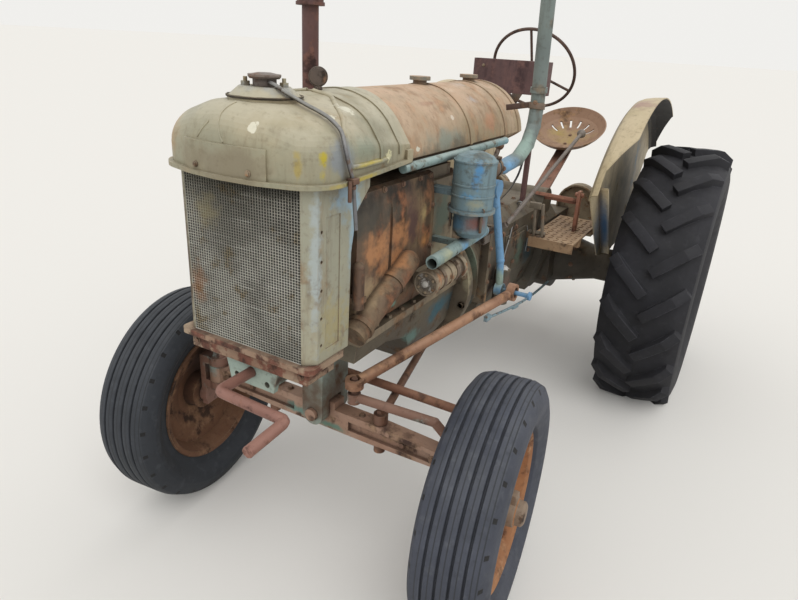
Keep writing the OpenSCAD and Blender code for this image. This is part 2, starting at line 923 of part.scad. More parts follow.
module rear_axle() {
    color("darkslategray") {
        block([-64, rear_axle_y - 70, drawbar_top + seat_gap], [64, rear_axle_y + 70, rear_wheel_z]);
        translate([0, rear_axle_y, rear_wheel_z])
            x_cyl(housing_r, 300);
        block([-170, gearbox_end + seat_gap, 400], [170, rear_axle_y, axle_case_top]);
        both_sides() {
            translate([148, rear_axle_y, rear_wheel_z])
                rotate([0, 90, 0])
                    cylinder(r1 = 120, r2 = 72, h = 190);
            translate([336, rear_axle_y, rear_wheel_z])
                rotate([0, 90, 0])
                    cylinder(r = 72, h = 96);
            translate([431, rear_axle_y, rear_wheel_z])
                rotate([0, 90, 0])
                    cylinder(r = 36, h = rear_track / 2 - 431 + 40);
        }
    }
}

module dash_plate() {
    y = 1400;
    dash_hw = 143;
    color("brown") {
        block([-dash_hw, y, 1192], [dash_hw, y + 46, 1306]);
        both_sides()
            block([96, y + 10, gearbox_top - 4 + seat_gap], [112, y + 30, 1194]);
    }
}

column_foot = [0, 985, 884];
column_tilt = 30;
hub_back = 32;
steering_centre = [0, 1661, 1272];

module steering_column() {
    dir = [0, cos(column_tilt), sin(column_tilt)];
    color("darkslategray") {
        bar(column_foot, steering_centre - (hub_back + seat_gap) * dir, 17);
        block([-62, 850, 800 + seat_gap], [62, 1018, 920]);
        translate([(62 + drop_pivot[0] - 15) / 2, drop_pivot[1], drop_pivot[2]])
            x_cyl(16, drop_pivot[0] - 15 - 62 - seat_gap);
        block([40, 840, 880], [130, 892, 990]);
    }
}

module steering_wheel() {
    spoke_r = 5;
    rim_tube_r = 6;
    color("dimgray")
        translate(steering_centre)
            rotate([column_tilt - 90, 0, 0]) {
                rotate_extrude($fn = 96)
                    translate([steering_r - rim_tube_r, 0])
                        circle(r = rim_tube_r, $fn = 24);
                translate([0, 0, -hub_back])
                    cylinder(r = 27, h = 30);
                for (a = [30, 150, 270])
                    rotate([0, 0, a])
                        bar([0, 0, -16], [steering_r - rim_tube_r, 0, 0], spoke_r);
            }
}

// Bar-tread tyre about the X axis, the bars' points leading at the top
module rear_tyre() {
    base_r = rear_tyre_r - bar_height;
    hw = rear_tyre_w / 2;
    inner = rear_bead_r + seat_gap;
    bar_t = 38;
    bar_skew = 42;
    pitch = 360 / bar_count;
    rotate([0, 90, 0])
        difference() {
            union() {
                rotate_extrude($fn = 96)
                    polygon([[inner, -105], [inner + 24, -116], [inner + 32, -128], [inner + 90, -hw + 6], [inner + 140, -hw],
                        [base_r - 34, -hw + 8], [base_r - 10, -hw + 40], [base_r, -60], [base_r, 60],
                        [base_r - 10, hw - 40], [base_r - 34, hw - 8], [inner + 140, hw], [inner + 90, hw - 6],
                        [inner + 32, 128], [inner + 24, 116], [inner, 105]]);
                for (side = [-1, 1], i = [0 : bar_count - 1])
                    rotate([0, 0, (i + (side > 0 ? 0 : 0.5)) * pitch])
                        translate([0, 0, side * 8])
                            rotate([side * bar_skew, 0, 0])
                                rotate([90, 0, 0])
                                    linear_extrude(height = bar_t, center = true)
                                        polygon([[base_r - 60, side * 4], [rear_tyre_r - 2, side * -6],
                                            [rear_tyre_r - 3, side * 60], [rear_tyre_r - 8, side * 128],
                                            [rear_tyre_r - 40, side * 176], [base_r - 60, side * 172]]);
            }
        }
}

// Pressed rim, disc and hub, the outside towards +X
module rear_rim() {
    rotate([0, 90, 0]) {
        rotate_extrude($fn = 96)
            polygon([[rear_bead_r - 6, -112], [rear_bead_r + 20, -124], [rear_bead_r + 24, -118],
                [rear_bead_r - seat_gap, -106], [rear_bead_r - seat_gap, 106], [rear_bead_r + 24, 118],
                [rear_bead_r + 20, 124], [rear_bead_r - 6, 112], [rear_bead_r - 30, 60], [rear_bead_r - 34, 22],
                [210, 46], [150, 30], [60, 30], [60, 18], [154, 18], [212, 34], [rear_bead_r - 44, 8],
                [rear_bead_r - 30, -60]]);
        difference() {
            union() {
                translate([0, 0, -40])
                    cylinder(r = 74, h = 100);
                translate([0, 0, 59])
                    cylinder(r1 = 56, r2 = 44, h = 26);
                for (a = [0 : 45 : 315])
                    rotate([0, 0, a])
                        translate([112, 0, 28])
                            hex_bolt(13, 16);
            }
            translate([0, 0, -60])
                cylinder(r = 36 + run_gap, h = 106);
        }
    }
}

module at_rear_wheel(side) {
    translate([side * rear_track / 2, rear_axle_y, rear_wheel_z])
        mirror([side < 0 ? 1 : 0, 0, 0])
            children();
}

module rear_tyre_on_ground(side) {
    difference() {
        at_rear_wheel(side)
            rear_tyre();
        translate([side * rear_track / 2, rear_axle_y, -100])
            cube([600, 1400, 200], center = true);
    }
}

module rear_rim_left() {
    color("lightgray")
        at_rear_wheel(1)
            rear_rim();
}

module rear_rim_right() {
    color("lightgray")
        at_rear_wheel(-1)
            rear_rim();
}

module rear_tyre_left() {
    color("dimgray")
        rear_tyre_on_ground(1);
}

module rear_tyre_right() {
    color("dimgray")
        rear_tyre_on_ground(-1);
}

// Middle of the fenders' curve, beside the rear axle
fender_y = rear_axle_y - 4;
fender_z = rear_wheel_z - 20;
fender_r = 747;
// Counted from straight down, over the top
fender_start = 233;
fender_sweep = 101;
fender_in = rear_track / 2 - 246;
fender_w = 107;

// Section of the pressed sheet: place across and how far below the outer edge
fender_rolls = [[0, 58], [4, 36], [15, 19], [36, 9], [70, 3], [fender_w, 0]];

module fender() {
    rim = [for (p = fender_rolls) [fender_r - p[1], fender_in + p[0]]];
    back = [for (i = [len(fender_rolls) - 1 : -1 : 0])
        [fender_r - fender_rolls[i][1] - sheet, fender_in + fender_rolls[i][0] + (i == 0 ? sheet : i == 1 ? 3 : 0)]];
    plate_r = fender_r - 56;
    intersection() {
        // Sheet rolled over the wheel
        translate([0, fender_y, fender_z])
            rotate([0, 90, 0])
                rotate([0, 0, fender_start])
                    rotate_extrude(angle = -fender_sweep, $fn = 96)
                        polygon(concat(rim, back));
        // Front and rear ends cut to a tapered, rounded outline, seen from above
        linear_extrude(height = 1400)
            fender_plan();
    }
    // Inner side plate, narrowing down to the axle
    intersection() {
        translate([fender_in, fender_y, fender_z])
            rotate([0, 90, 0])
                cylinder(r = plate_r, h = sheet, $fn = 96);
        side_plate(fender_in - 1, fender_in + sheet + 1)
            polygon([[fender_y - 540, fender_z + 418], [fender_y - 250, fender_z + 132], [fender_y - 90, fender_z + 96],
                [fender_y + 100, fender_z + 96], [fender_y + 260, fender_z + 180], [fender_y + 520, fender_z + 470],
                [fender_y + 300, fender_z + 800], [fender_y - 400, fender_z + 800]]);
    }
    // Flat brace from the front of the sheet down to the axle
    hull() {
        block([fender_in + 1, fender_y - 440, fender_z + 436], [fender_in + 40, fender_y - 432, fender_z + 444]);
        block([fender_in + 1, fender_y - 186, fender_z + 128], [fender_in + 40, fender_y - 178, fender_z + 136]);
    }
    block([fender_in - 32, rear_axle_y - 40, rear_wheel_z + 72 + seat_gap],
        [fender_in + sheet, rear_axle_y + 40, rear_wheel_z + 190]);
}

// Plan of a fender, its free corners rounded
module fender_plan() {
    x_out = fender_in + fender_w + 1;
    low = fender_y - 620;
    high = fender_y + 600;
    corner = 70;
    union() {
        translate([fender_in - 1, low])
            square([x_out - fender_in - corner, high - low]);
        translate([fender_in - 1, fender_y - 400])
            square([x_out - fender_in + 1, 760]);
        polygon([[fender_in - 1, fender_y - 560], [x_out - corner, fender_y - 520], [x_out, fender_y - 400],
            [fender_in, fender_y - 390]]);
        polygon([[fender_in - 1, fender_y + 560], [x_out - corner, fender_y + 520], [x_out, fender_y + 350],
            [fender_in, fender_y + 340]]);
    }
}

module fenders() {
    color("tan")
        both_sides()
            fender();
}

module seat() {
    dish = seat_dish;
    t = 5;
    color("burlywood")
        translate([0, seat_y, seat_z])
            rotate([seat_tilt, 0, 0])
                difference() {
                    rotate_extrude($fn = 72)
                        polygon([[0, -dish], [58, -dish + 3], [108, -dish + 14], [146, -dish + 34], [168, -dish + 56],
                            [seat_r, 0], [seat_r - t, 2], [163, -dish + 59], [142, -dish + 38], [106, -dish + 14 + t],
                            [57, -dish + 3 + t], [0, -dish + t]]);
                    for (a = [30 : 24 : 150])
                        rotate([0, 0, a])
                            translate([104, 0, -dish + 14])
                                cube([44, 10, 36], center = true);
                }
}

// Point in the tilted seat's middle plane, from its place along the seat and above its rim
function seat_point(along, up) = [seat_y + along * cos(seat_tilt) - up * sin(seat_tilt),
    seat_z + along * sin(seat_tilt) + up * cos(seat_tilt)];

module seat_spring() {
    w = 70;
    t = 11;
    foot_y = rear_axle_y - 150;
    foot_z = axle_case_top + seat_gap;
    // Level of the pan's underside
    under = -seat_dish - seat_gap;
    color("sienna") {
        side_plate(-w / 2, w / 2)
            polygon([[foot_y, foot_z], [foot_y + 120, foot_z], [foot_y + 260, foot_z + 30],
                seat_point(-118, under - 2 * t - 1), seat_point(20, under - 2 * t + 4),
                seat_point(20, under - t + 3), seat_point(-122, under - t - 1),
                [foot_y + 254, foot_z + 42], [foot_y + 118, foot_z + t], [foot_y, foot_z + t]]);
        translate([0, seat_y, seat_z])
            rotate([seat_tilt, 0, 0])
                block([-w / 2, -58, under - t], [w / 2, 58, under]);
    }
}

module footplates() {
    z = 686;
    front = gearbox_end - 370;
    color("saddlebrown")
        both_sides() {
            block([176, front, z], [346, gearbox_end + 40, z + 7]);
            block([176, front, z - 30], [346, front + 6, z]);
            block([138 + seat_gap, front + 90, z - 26], [346, front + 120, z]);
            block([170 + seat_gap, gearbox_end - 60, z - 26], [346, gearbox_end - 30, z]);
        }
}

module levers() {
    base = [214, 960, 828];
    knob = [232, 1650, 1049];
    shift_knob = [20, 1330, 1012];
    color("gray") {
        bar(base, knob, 7);
        translate(knob)
            rotate([17, 33, 0])
                sphere(r = 17);
        block([120 + seat_gap, 940, 750], [152, 990, 798]);
        bar([140, 965, 780], base, 10);
        // Gear lever on the gearbox
        bar([0, 1240, gearbox_top + 12], shift_knob, 9);
        translate(shift_knob)
            rotate([17, 33, 0])
                sphere(r = 17);
        translate([0, 1240, gearbox_top + seat_gap])
            cylinder(r1 = 44, r2 = 22, h = 26);
    }
}

module drawbar() {
    t = 22;
    z = drawbar_top - t;
    eye_y = rear_axle_y + 440;
    cross_y = rear_axle_y + 290;
    color("sienna")
        difference() {
            union() {
                block([-38, rear_axle_y - 60, z], [38, eye_y, z + t]);
                translate([0, eye_y, z])
                    cylinder(r = 38, h = t);
                block([-210, cross_y - 34, z], [210, cross_y + 34, z + t]);
            }
            translate([0, eye_y, z - 5])
                cylinder(r = 14, h = t + 10);
            for (x = [-180, -110, 110, 180])
                translate([x, cross_y, z - 5])
                    cylinder(r = 11, h = t + 10);
        }
}

module placed() {
    translate([0, -mid_y, 0])
        children();
}

placed() radiator_core();
placed() radiator_bottom();
placed() radiator_sides();
placed() top_tank();
placed() filler_cap();
placed() thermometer();
placed() overflow_tube();
placed() front_bracket();
placed() starting_handle();
placed() front_axle();
placed() radius_rods();
placed() knuckle_left();
placed() knuckle_right();
placed() tie_rod();
placed() drag_link();
placed() drop_arm();
placed() front_rim_left();
placed() front_tyre_left();
placed() front_rim_right();
placed() front_tyre_right();
placed() engine();
placed() oil_pan();
placed() manifold_cover();
placed() magneto();
placed() cover_rails();
placed() air_cleaner();
placed() intake_pipe();
placed() exhaust();
placed() fuel_tank();
placed() clutch_housing();
placed() gearbox();
placed() rear_axle();
placed() dash_plate();
placed() steering_column();
placed() steering_wheel();
placed() rear_rim_left();
placed() rear_tyre_left();
placed() rear_rim_right();
placed() rear_tyre_right();
placed() fenders();
placed() seat();
placed() seat_spring();
placed() footplates();
placed() levers();
placed() drawbar();
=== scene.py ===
"""Looks of a weathered farm tractor on rubber tyres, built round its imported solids."""

from __future__ import annotations

import logging
import math
from collections.abc import Callable, Iterator, Sequence
from contextlib import contextmanager
from dataclasses import dataclass, field, replace
from enum import Enum
from functools import partial
from itertools import product

import bpy
from mathutils import Matrix, Vector

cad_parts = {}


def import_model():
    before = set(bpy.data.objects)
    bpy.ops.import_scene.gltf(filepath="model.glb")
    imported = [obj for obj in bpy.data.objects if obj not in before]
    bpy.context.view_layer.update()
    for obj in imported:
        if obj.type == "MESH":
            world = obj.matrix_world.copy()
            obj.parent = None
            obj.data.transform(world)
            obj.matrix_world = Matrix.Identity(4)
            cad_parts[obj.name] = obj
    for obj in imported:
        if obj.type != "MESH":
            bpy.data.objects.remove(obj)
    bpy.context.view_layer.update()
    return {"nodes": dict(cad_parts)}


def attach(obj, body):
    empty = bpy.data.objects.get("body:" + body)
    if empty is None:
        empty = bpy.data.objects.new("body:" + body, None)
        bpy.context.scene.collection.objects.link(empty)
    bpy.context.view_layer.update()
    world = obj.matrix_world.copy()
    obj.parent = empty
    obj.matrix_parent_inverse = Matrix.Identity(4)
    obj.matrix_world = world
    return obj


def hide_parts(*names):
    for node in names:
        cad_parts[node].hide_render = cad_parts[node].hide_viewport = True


LOG = logging.getLogger("tractor")
Socket = bpy.types.NodeSocket
Place = tuple[float, float, float]
Lines = list[tuple[Place, Place]]
Test = Callable[[Vector, Vector], bool]
MM = 0.001
# Ways in the tractor's frame
UP, DOWN, BACK, LEFT, RIGHT = (0, 0, 1), (0, 0, -1), (0, 1, 0), (1, 0, 0), (-1, 0, 0)
# Sizes of a primitive that are lengths
LENGTHS = ("size", "radius", "depth")
# Vertices nearer than this, in metres, are one
MERGE = 0.00001
# Least cosine between a face's normal and the way that it is said to look
FACING = 0.9
# Least angle in degrees between faces that stays crisp on a round bar or band
ROUND = 80
# Inputs and output of a colour mix
FACTOR, FIRST, SECOND, RESULT = 0, 6, 7, 2
# Noise scale at which a patch is a millimetre wide
PATCH_SCALE = 500


class Side(Enum):
    """The tractor's two sides, by the sign of x."""

    LEFT = 1
    RIGHT = -1

    @property
    def word(self) -> str:
        """Returns the side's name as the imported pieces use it."""
        return self.name.lower()


def linear(code: str) -> tuple[float, float, float, float]:
    """Turns an sRGB hex colour to the linear values that a shader takes.

    Args:
        code: Six hex digits.

    Returns:
        Red, green, blue and an alpha of 1.
    """
    parts = [int(code[i : i + 2], 16) / 255 for i in (0, 2, 4)]
    return (*(c / 12.92 if c <= 0.04045 else ((c + 0.055) / 1.055) ** 2.4 for c in parts), 1.0)


def add(
    tree: bpy.types.NodeTree, kind: str, inputs: dict | None = None, out: int | str = 0, **settings: object
) -> Socket | None:
    """Adds a shader node with its settings and its inputs.

    Args:
        tree: Node tree that takes the node.
        kind: Blender's name of the node, without its ShaderNode prefix.
        inputs: For each input by name or number, a value or a socket to link it to.
        out: Output to hand back, by name or number.
        settings: Attributes of the node.

    Returns:
        The output, or none from the node that ends a tree.
    """
    node = tree.nodes.new("ShaderNode" + kind)
    for key, value in settings.items():
        setattr(node, key, value)
    for key, value in (inputs or {}).items():
        if isinstance(value, bpy.types.NodeSocket):
            tree.links.new(value, node.inputs[key])
        else:
            node.inputs[key].default_value = value
    return node.outputs[out] if node.outputs else None


@dataclass(frozen=True)
class Spot:
    """A place where the surface differs, such as bare primer or a lichen.

    Attributes:
        centre: Place in millimetres, in the tractor's frame.
        radius: Half widths in millimetres along the three axes.
        colour: Hex colour of the spot.
        ragged: How far its rim wanders, as a share of its radius.
        grain: Width of the rim's wander in millimetres.
    """

    centre: Place
    radius: Place
    colour: str
    ragged: float = 0.5
    grain: float = 12.0

    @property
    def soft(self) -> float:
        """Returns the width of the rim's fade: lichen is crisp, stains are not."""
        return 0.2 if self.grain < 10 else 0.8


@dataclass
class Coat:
    """A material in the making, with the masks and layers that it is painted with.

    Attributes:
        name: What the surface is.
        colour: Colour of the layers so far, as a socket or a hex code.
    """

    name: str
    colour: Socket | str

    def __post_init__(self) -> None:
        """Opens the material with an empty node tree and its object coordinates."""
        self.mat = bpy.data.materials.new(self.name)
        self.mat.use_nodes = True
        self.mat.node_tree.nodes.clear()
        self.add = partial(add, self.mat.node_tree)
        self.place = self.add("TexCoord", out="Object")

    def ramp(self, value: Socket, low: float, high: float, top: float = 1.0) -> Socket:
        """Turns a value to a soft-edged mask.

        Args:
            value: The value.
            low: Where the mask starts.
            high: Where it is full.
            top: How full it gets.

        Returns:
            The mask.
        """
        limits = {"Value": value, "From Min": low, "From Max": high, "To Max": top}
        return self.add("MapRange", limits, interpolation_type="SMOOTHSTEP")

    def clouds(self, width: float, low: float, high: float, place: Socket | None = None) -> Socket:
        """Makes a mask of ragged patches.

        Args:
            width: Patch width in millimetres.
            low: Noise value where a patch starts.
            high: Noise value where it is full.
            place: Coordinates in metres, if not the object's own.

        Returns:
            The mask, from 0 to 1.
        """
        place = self.place if place is None else place
        noise = {"Vector": place, "Scale": PATCH_SCALE / width, "Detail": 7, "Roughness": 0.62}
        return self.ramp(self.add("TexNoise", noise), low, high)

    def spot(self, spot: Spot) -> Socket:
        """Makes the mask of one spot, with a ragged rim.

        Args:
            spot: The spot.

        Returns:
            The mask, from 0 to 1.
        """
        sizes = {"Location": [c * MM for c in spot.centre], "Scale": [r * MM for r in spot.radius]}
        moved = self.add("Mapping", {"Vector": self.place, **sizes}, vector_type="TEXTURE")
        reach = self.add("VectorMath", {0: moved}, "Value", operation="LENGTH")
        grain = {"Vector": self.place, "Scale": PATCH_SCALE / spot.grain, "Detail": 5, "Roughness": 0.6}
        wander = {0: self.add("TexNoise", grain), 1: spot.ragged * 4, 2: reach}
        edge = 1 + spot.ragged * 2
        rim = self.add("Math", wander, operation="MULTIPLY_ADD")
        return self.ramp(rim, edge + spot.soft / 4, edge - spot.soft)

    def times(self, first: Socket, second: Socket | float) -> Socket:
        """Returns the product of two masks."""
        return self.add("Math", {0: first, 1: second}, operation="MULTIPLY")

    def mix(self, mask: Socket, below: Socket | str, above: Socket | str) -> Socket:
        """Mixes two colours.

        Args:
            mask: Where the upper colour shows.
            below: Lower colour, a socket or a hex code.
            above: Upper colour, a socket or a hex code.

        Returns:
            The mixed colour.
        """
        below, above = (linear(c) if isinstance(c, str) else c for c in (below, above))
        return self.add("Mix", {FACTOR: mask, FIRST: below, SECOND: above}, RESULT, data_type="RGBA")

    def lay(self, mask: Socket, colour: Socket | str, share: float = 1.0) -> None:
        """Lays a colour over the layers so far.

        Args:
            mask: Where it shows.
            colour: The colour, a socket or a hex code.
            share: How much of it shows where the mask is full.
        """
        mask = mask if share == 1 else self.times(mask, share)
        self.colour = self.mix(mask, self.colour, colour)

    def close(self, rough: Socket | float, metal: float, bump: dict) -> bpy.types.Material:
        """Ends the material with its shader.

        Args:
            rough: Roughness.
            metal: How metallic it is.
            bump: Inputs of its bump.

        Returns:
            The finished material.
        """
        normal = self.add("Bump", bump)
        surface = {"Base Color": self.colour, "Roughness": rough, "Metallic": metal, "Normal": normal}
        self.add("OutputMaterial", {"Surface": self.add("BsdfPrincipled", surface)})
        return self.mat


@dataclass(frozen=True)
class Finish:
    """A steel or iron surface as paint, rust, water and lichen have left it, with painted shade in its corners.

    Attributes:
        name: What the surface is, in a maker's words.
        base: Main colour, as hex.
        shade: Second tone of the main coat, in broad clouds.
        rust: Lighter rust colour.
        deep_and_shade: Darker rust colour, also of the grime and the painted shade in corners.
        cover: Share of the surface that rust has taken.
        patch: Width of the rust patches in millimetres.
        streak: How much the rust runs down in streaks, from 0 to 1.
        dust: Colour of what lies on faces that look up.
        dusty: How much of it lies there.
        worn: Colour of the metal that shows where edges are rubbed.
        rough: Roughness of the main coat.
        metal: How metallic the main coat is.
        grit: Height of the rust's pitting in millimetres.
        inside: Colour of the painted shade on the faces that look to the shade centre, or none.
        shade_centre: Point in millimetres that a bent sheet's inner face looks to.
        spots: Places with a colour of their own.
    """

    name: str
    base: str
    shade: str
    rust: str
    deep_and_shade: str
    cover: float = 0.3
    patch: float = 60
    streak: float = 0.0
    dust: str = "b7a88c"
    dusty: float = 0.3
    worn: str = "a08a70"
    rough: float = 0.62
    metal: float = 0.0
    grit: float = 0.5
    inside: str | None = None
    shade_centre: Place = (0.0, 0.0, 0.0)
    spots: tuple[Spot, ...] = ()

    def material(self) -> bpy.types.Material:
        """Builds the material.

        Returns:
            The finished material.
        """
        coat = Coat(self.name, self.base)
        # Cast and folded edges are rounded by about 2 mm
        round_edge = coat.add("Bevel", {"Radius": 2 * MM}, samples=4)
        coat.lay(coat.clouds(160, 0.38, 0.62), self.shade)
        # Noise value that leaves the wanted share of the surface to rust
        start = 0.5 + (0.5 - self.cover) * 0.42
        patches = coat.clouds(self.patch, start - 0.05, start + 0.05)
        if self.streak:
            drawn = coat.add("Mapping", {"Vector": coat.place, "Scale": (1.0, 1.0, 0.14)})
            runs = coat.clouds(26, start - 0.09, start + 0.07, drawn)
            patches = coat.add("Mix", {FACTOR: self.streak, 2: patches, 3: runs})
        coat.lay(patches, coat.mix(coat.clouds(18, 0.36, 0.62), self.rust, self.deep_and_shade))
        if self.streak:
            # Fine brown runs that rain leaves down a sheet
            coat.lay(coat.clouds(11, 0.5, 0.78, drawn), self.deep_and_shade, 0.45)
        if self.inside:
            self.line(coat)
        for spot in self.spots:
            coat.lay(coat.spot(spot), spot.colour)
        self.soil_and_shade(coat, round_edge)
        rough = coat.add("MapRange", {"Value": patches, "To Min": self.rough, "To Max": 0.92})
        pits = coat.add("TexNoise", {"Vector": coat.place, "Scale": 260.0, "Detail": 4})
        height = coat.add("Math", {0: patches, 1: 0.5, 2: pits}, operation="MULTIPLY_ADD")
        bump = {"Height": height, "Distance": self.grit * MM, "Strength": 0.8, "Normal": round_edge}
        return coat.close(rough, self.metal, bump)

    def line(self, coat: Coat) -> None:
        """Paints the inner face of a bent sheet darker, as painted shade.

        Args:
            coat: The material so far.
        """
        # The right-hand sheet mirrors the left-hand one
        side = coat.add("Math", {0: coat.add("SeparateXYZ", {"Vector": coat.place}, "X")}, operation="SIGN")
        flip = coat.add("CombineXYZ", {"X": side, "Y": 1.0, "Z": 1.0})
        sides = (coat.place, coat.add("NewGeometry", out="Normal"))
        place, normal = (coat.add("VectorMath", {0: way, 1: flip}, operation="MULTIPLY") for way in sides)
        spoke = coat.add("VectorMath", {0: place, 1: [c * MM for c in self.shade_centre]}, operation="SUBTRACT")
        unit = coat.add("VectorMath", {0: spoke}, operation="NORMALIZE")
        inward = coat.add("VectorMath", {0: unit, 1: normal}, "Value", operation="DOT_PRODUCT")
        # The inner face gets painted shade
        coat.lay(coat.ramp(inward, -0.25, -0.45), self.inside)

    def soil_and_shade(self, coat: Coat, round_edge: Socket) -> None:
        """Rubs the edges bare, then lays dust on top, grime and painted shade in corners and fine specks all over.

        Args:
            coat: The material so far.
            round_edge: Normal with the edges rounded.
        """
        normal = coat.add("NewGeometry", out="Normal")
        turned = coat.add("VectorMath", {0: round_edge, 1: normal}, "Value", operation="DOT_PRODUCT")
        coat.lay(coat.times(coat.ramp(turned, 0.995, 0.93), coat.clouds(30, 0.42, 0.6)), self.worn, 0.7)
        upward = coat.ramp(coat.add("SeparateXYZ", {"Vector": normal}, "Z"), 0.2, 0.95, self.dusty)
        coat.lay(coat.times(upward, coat.clouds(45, 0.3, 0.6)), self.dust)
        # Corners within 70 mm of another surface get grime and painted shade
        hollow = coat.add("AmbientOcclusion", {"Distance": 70 * MM}, "AO", samples=8)
        coat.lay(coat.ramp(hollow, 0.78, 0.3), self.deep_and_shade, 0.75)
        coat.lay(coat.clouds(8, 0.52, 0.72), self.deep_and_shade, 0.35)


@dataclass(frozen=True)
class Rubber(Finish):
    """Aged tyre rubber: nearly black, with pale dust in its hollows and moulded rings on its walls.

    Attributes:
        hub: Centre of the wheel in millimetres.
        lean: Turn of the wheel about the upright axis in degrees.
        bloom: Colour that the sun has given the rubber.
        notches: Number of moulded notches round each shoulder.
        notch_x: Nearest and farthest distance of a notch from the wheel's middle plane, in millimetres.
        crown: Least radius of the notches and fine grooves in millimetres.
        fine: Distances of the fine moulded grooves from the wheel's middle plane, in millimetres.
    """

    grit: float = 0.7
    hub: Place = (0.0, 0.0, 0.0)
    lean: float = 0.0
    bloom: str = "4a4d50"
    notches: int = 0
    notch_x: tuple[float, float] = (72, 79)
    crown: float = 294
    fine: tuple[float, ...] = ()

    def notch_mask(self, coat: Coat, wheel: Socket, crown: Socket) -> Socket:
        """Makes the mask of the shoulder notches.

        Args:
            coat: The material so far.
            wheel: Coordinates from the hub, with x along the axle.
            crown: Mask of the tread.

        Returns:
            The mask, from 0 to 1.
        """
        axes = coat.add("SeparateXYZ", {"Vector": wheel}).node.outputs
        angle = coat.add("Math", {0: axes["Z"], 1: axes["Y"]}, operation="ARCTAN2")
        # The 40 whole turns keep the count of notches above zero
        turns = coat.add("Math", {0: angle, 1: self.notches / math.tau, 2: 40.0}, operation="MULTIPLY_ADD")
        part = coat.add("Math", {0: turns}, operation="FRACT")
        off = coat.add("Math", {0: part, 1: 0.5}, operation="SUBTRACT")
        off = coat.add("Math", {0: off}, operation="ABSOLUTE")
        wide = coat.add("Math", {0: axes["X"]}, operation="ABSOLUTE")
        near, far = (x * MM for x in self.notch_x)
        band = coat.times(coat.ramp(wide, near, near + MM), coat.ramp(wide, far + MM, far))
        return coat.times(coat.times(band, crown), coat.ramp(off, 0.085, 0.065))

    def material(self) -> bpy.types.Material:
        """Builds the material.

        Returns:
            The finished material.
        """
        coat = Coat(self.name, self.base)
        turn = {"Location": [c * MM for c in self.hub], "Rotation": (0.0, 0.0, math.radians(self.lean))}
        wheel = coat.add("Mapping", {"Vector": coat.place, **turn}, vector_type="TEXTURE")
        flat = coat.add("VectorMath", {0: wheel, 1: (0, 1, 1)}, operation="MULTIPLY")
        reach = coat.add("VectorMath", {0: flat}, "Value", operation="LENGTH")
        round_edge = coat.add("Bevel", {"Radius": 4 * MM}, samples=4)
        coat.lay(coat.clouds(120, 0.35, 0.7), self.bloom)
        coat.lay(coat.clouds(14, 0.52, 0.75), self.shade)
        self.soil_and_shade(coat, round_edge)
        # Moulded rings every 14 mm out from the bead
        turns = coat.times(reach, math.tau / (14 * MM))
        grain = coat.add("TexNoise", {"Vector": coat.place, "Scale": 420.0, "Detail": 3})
        rings = {0: coat.add("Math", {0: turns}, operation="SINE"), 1: 0.12, 2: grain}
        height = coat.add("Math", rings, operation="MULTIPLY_ADD")
        crown = coat.ramp(reach, self.crown * MM, (self.crown + 2) * MM)
        # Mask, colour, share and height of each notch or groove
        # The notches and grooves are painted darker, as painted shade in their hollows
        cuts = [(self.notch_mask(coat, wheel, crown), "141416", 1.0, -8.0)] if self.notches else []
        across = coat.add("SeparateXYZ", {"Vector": wheel}, "X")
        for line in self.fine:
            groove = coat.add("Math", {0: across, 1: line * MM, 2: 1.3 * MM}, operation="COMPARE")
            cuts.append((coat.times(groove, crown), self.deep_and_shade, 0.8, -3.0))
        for mask, colour, share, rise in cuts:
            coat.lay(mask, colour, share)
            height = coat.add("Math", {0: mask, 1: rise, 2: height}, operation="MULTIPLY_ADD")
        bump = {"Height": height, "Distance": self.grit * MM, "Strength": 0.6, "Normal": round_edge}
        return coat.close(self.rough, self.metal, bump)


@dataclass(frozen=True)
class Honeycomb(Finish):
    """Bare radiator tubes: grey metal rims with painted shade behind them, bent over in patches.

    Attributes:
        face: Depth of the front face in millimetres.
    """

    face: float = 0.0

    def material(self) -> bpy.types.Material:
        """Builds the material.

        Returns:
            The finished material.
        """
        coat = Coat(self.name, self.base)
        coat.lay(coat.clouds(60, 0.4, 0.6), self.shade)
        coat.lay(coat.clouds(26, 0.56, 0.66), self.rust)
        # Tubes combed flat by twigs lie in long slanted strokes
        strokes = {"Vector": coat.place, "Rotation": (0.0, math.radians(20), 0.0), "Scale": (0.22, 1.0, 1.9)}
        coat.lay(coat.clouds(12, 0.56, 0.64, coat.add("Mapping", strokes)), self.worn, 0.6)
        # Painted shade darkens the tubes from just behind their front face
        depth = coat.add("SeparateXYZ", {"Vector": coat.place}, "Y")
        coat.lay(coat.ramp(depth, (self.face + 0.8) * MM, (self.face + 3.5) * MM), self.deep_and_shade, 0.9)
        for spot in self.spots:
            coat.lay(coat.spot(spot), spot.colour, 0.6)
        grain = coat.add("TexNoise", {"Vector": coat.place, "Scale": 500.0, "Detail": 2})
        return coat.close(self.rough, self.metal, {"Height": grain, "Distance": self.grit * MM})




# Rear discs: pale green enamel coming off brown rust
PALE_DISC = Finish("pale_green_disc", "8d9484", "7c7868", "7c5a44", "42302a", cover=0.5, patch=70, dust="9c9480")
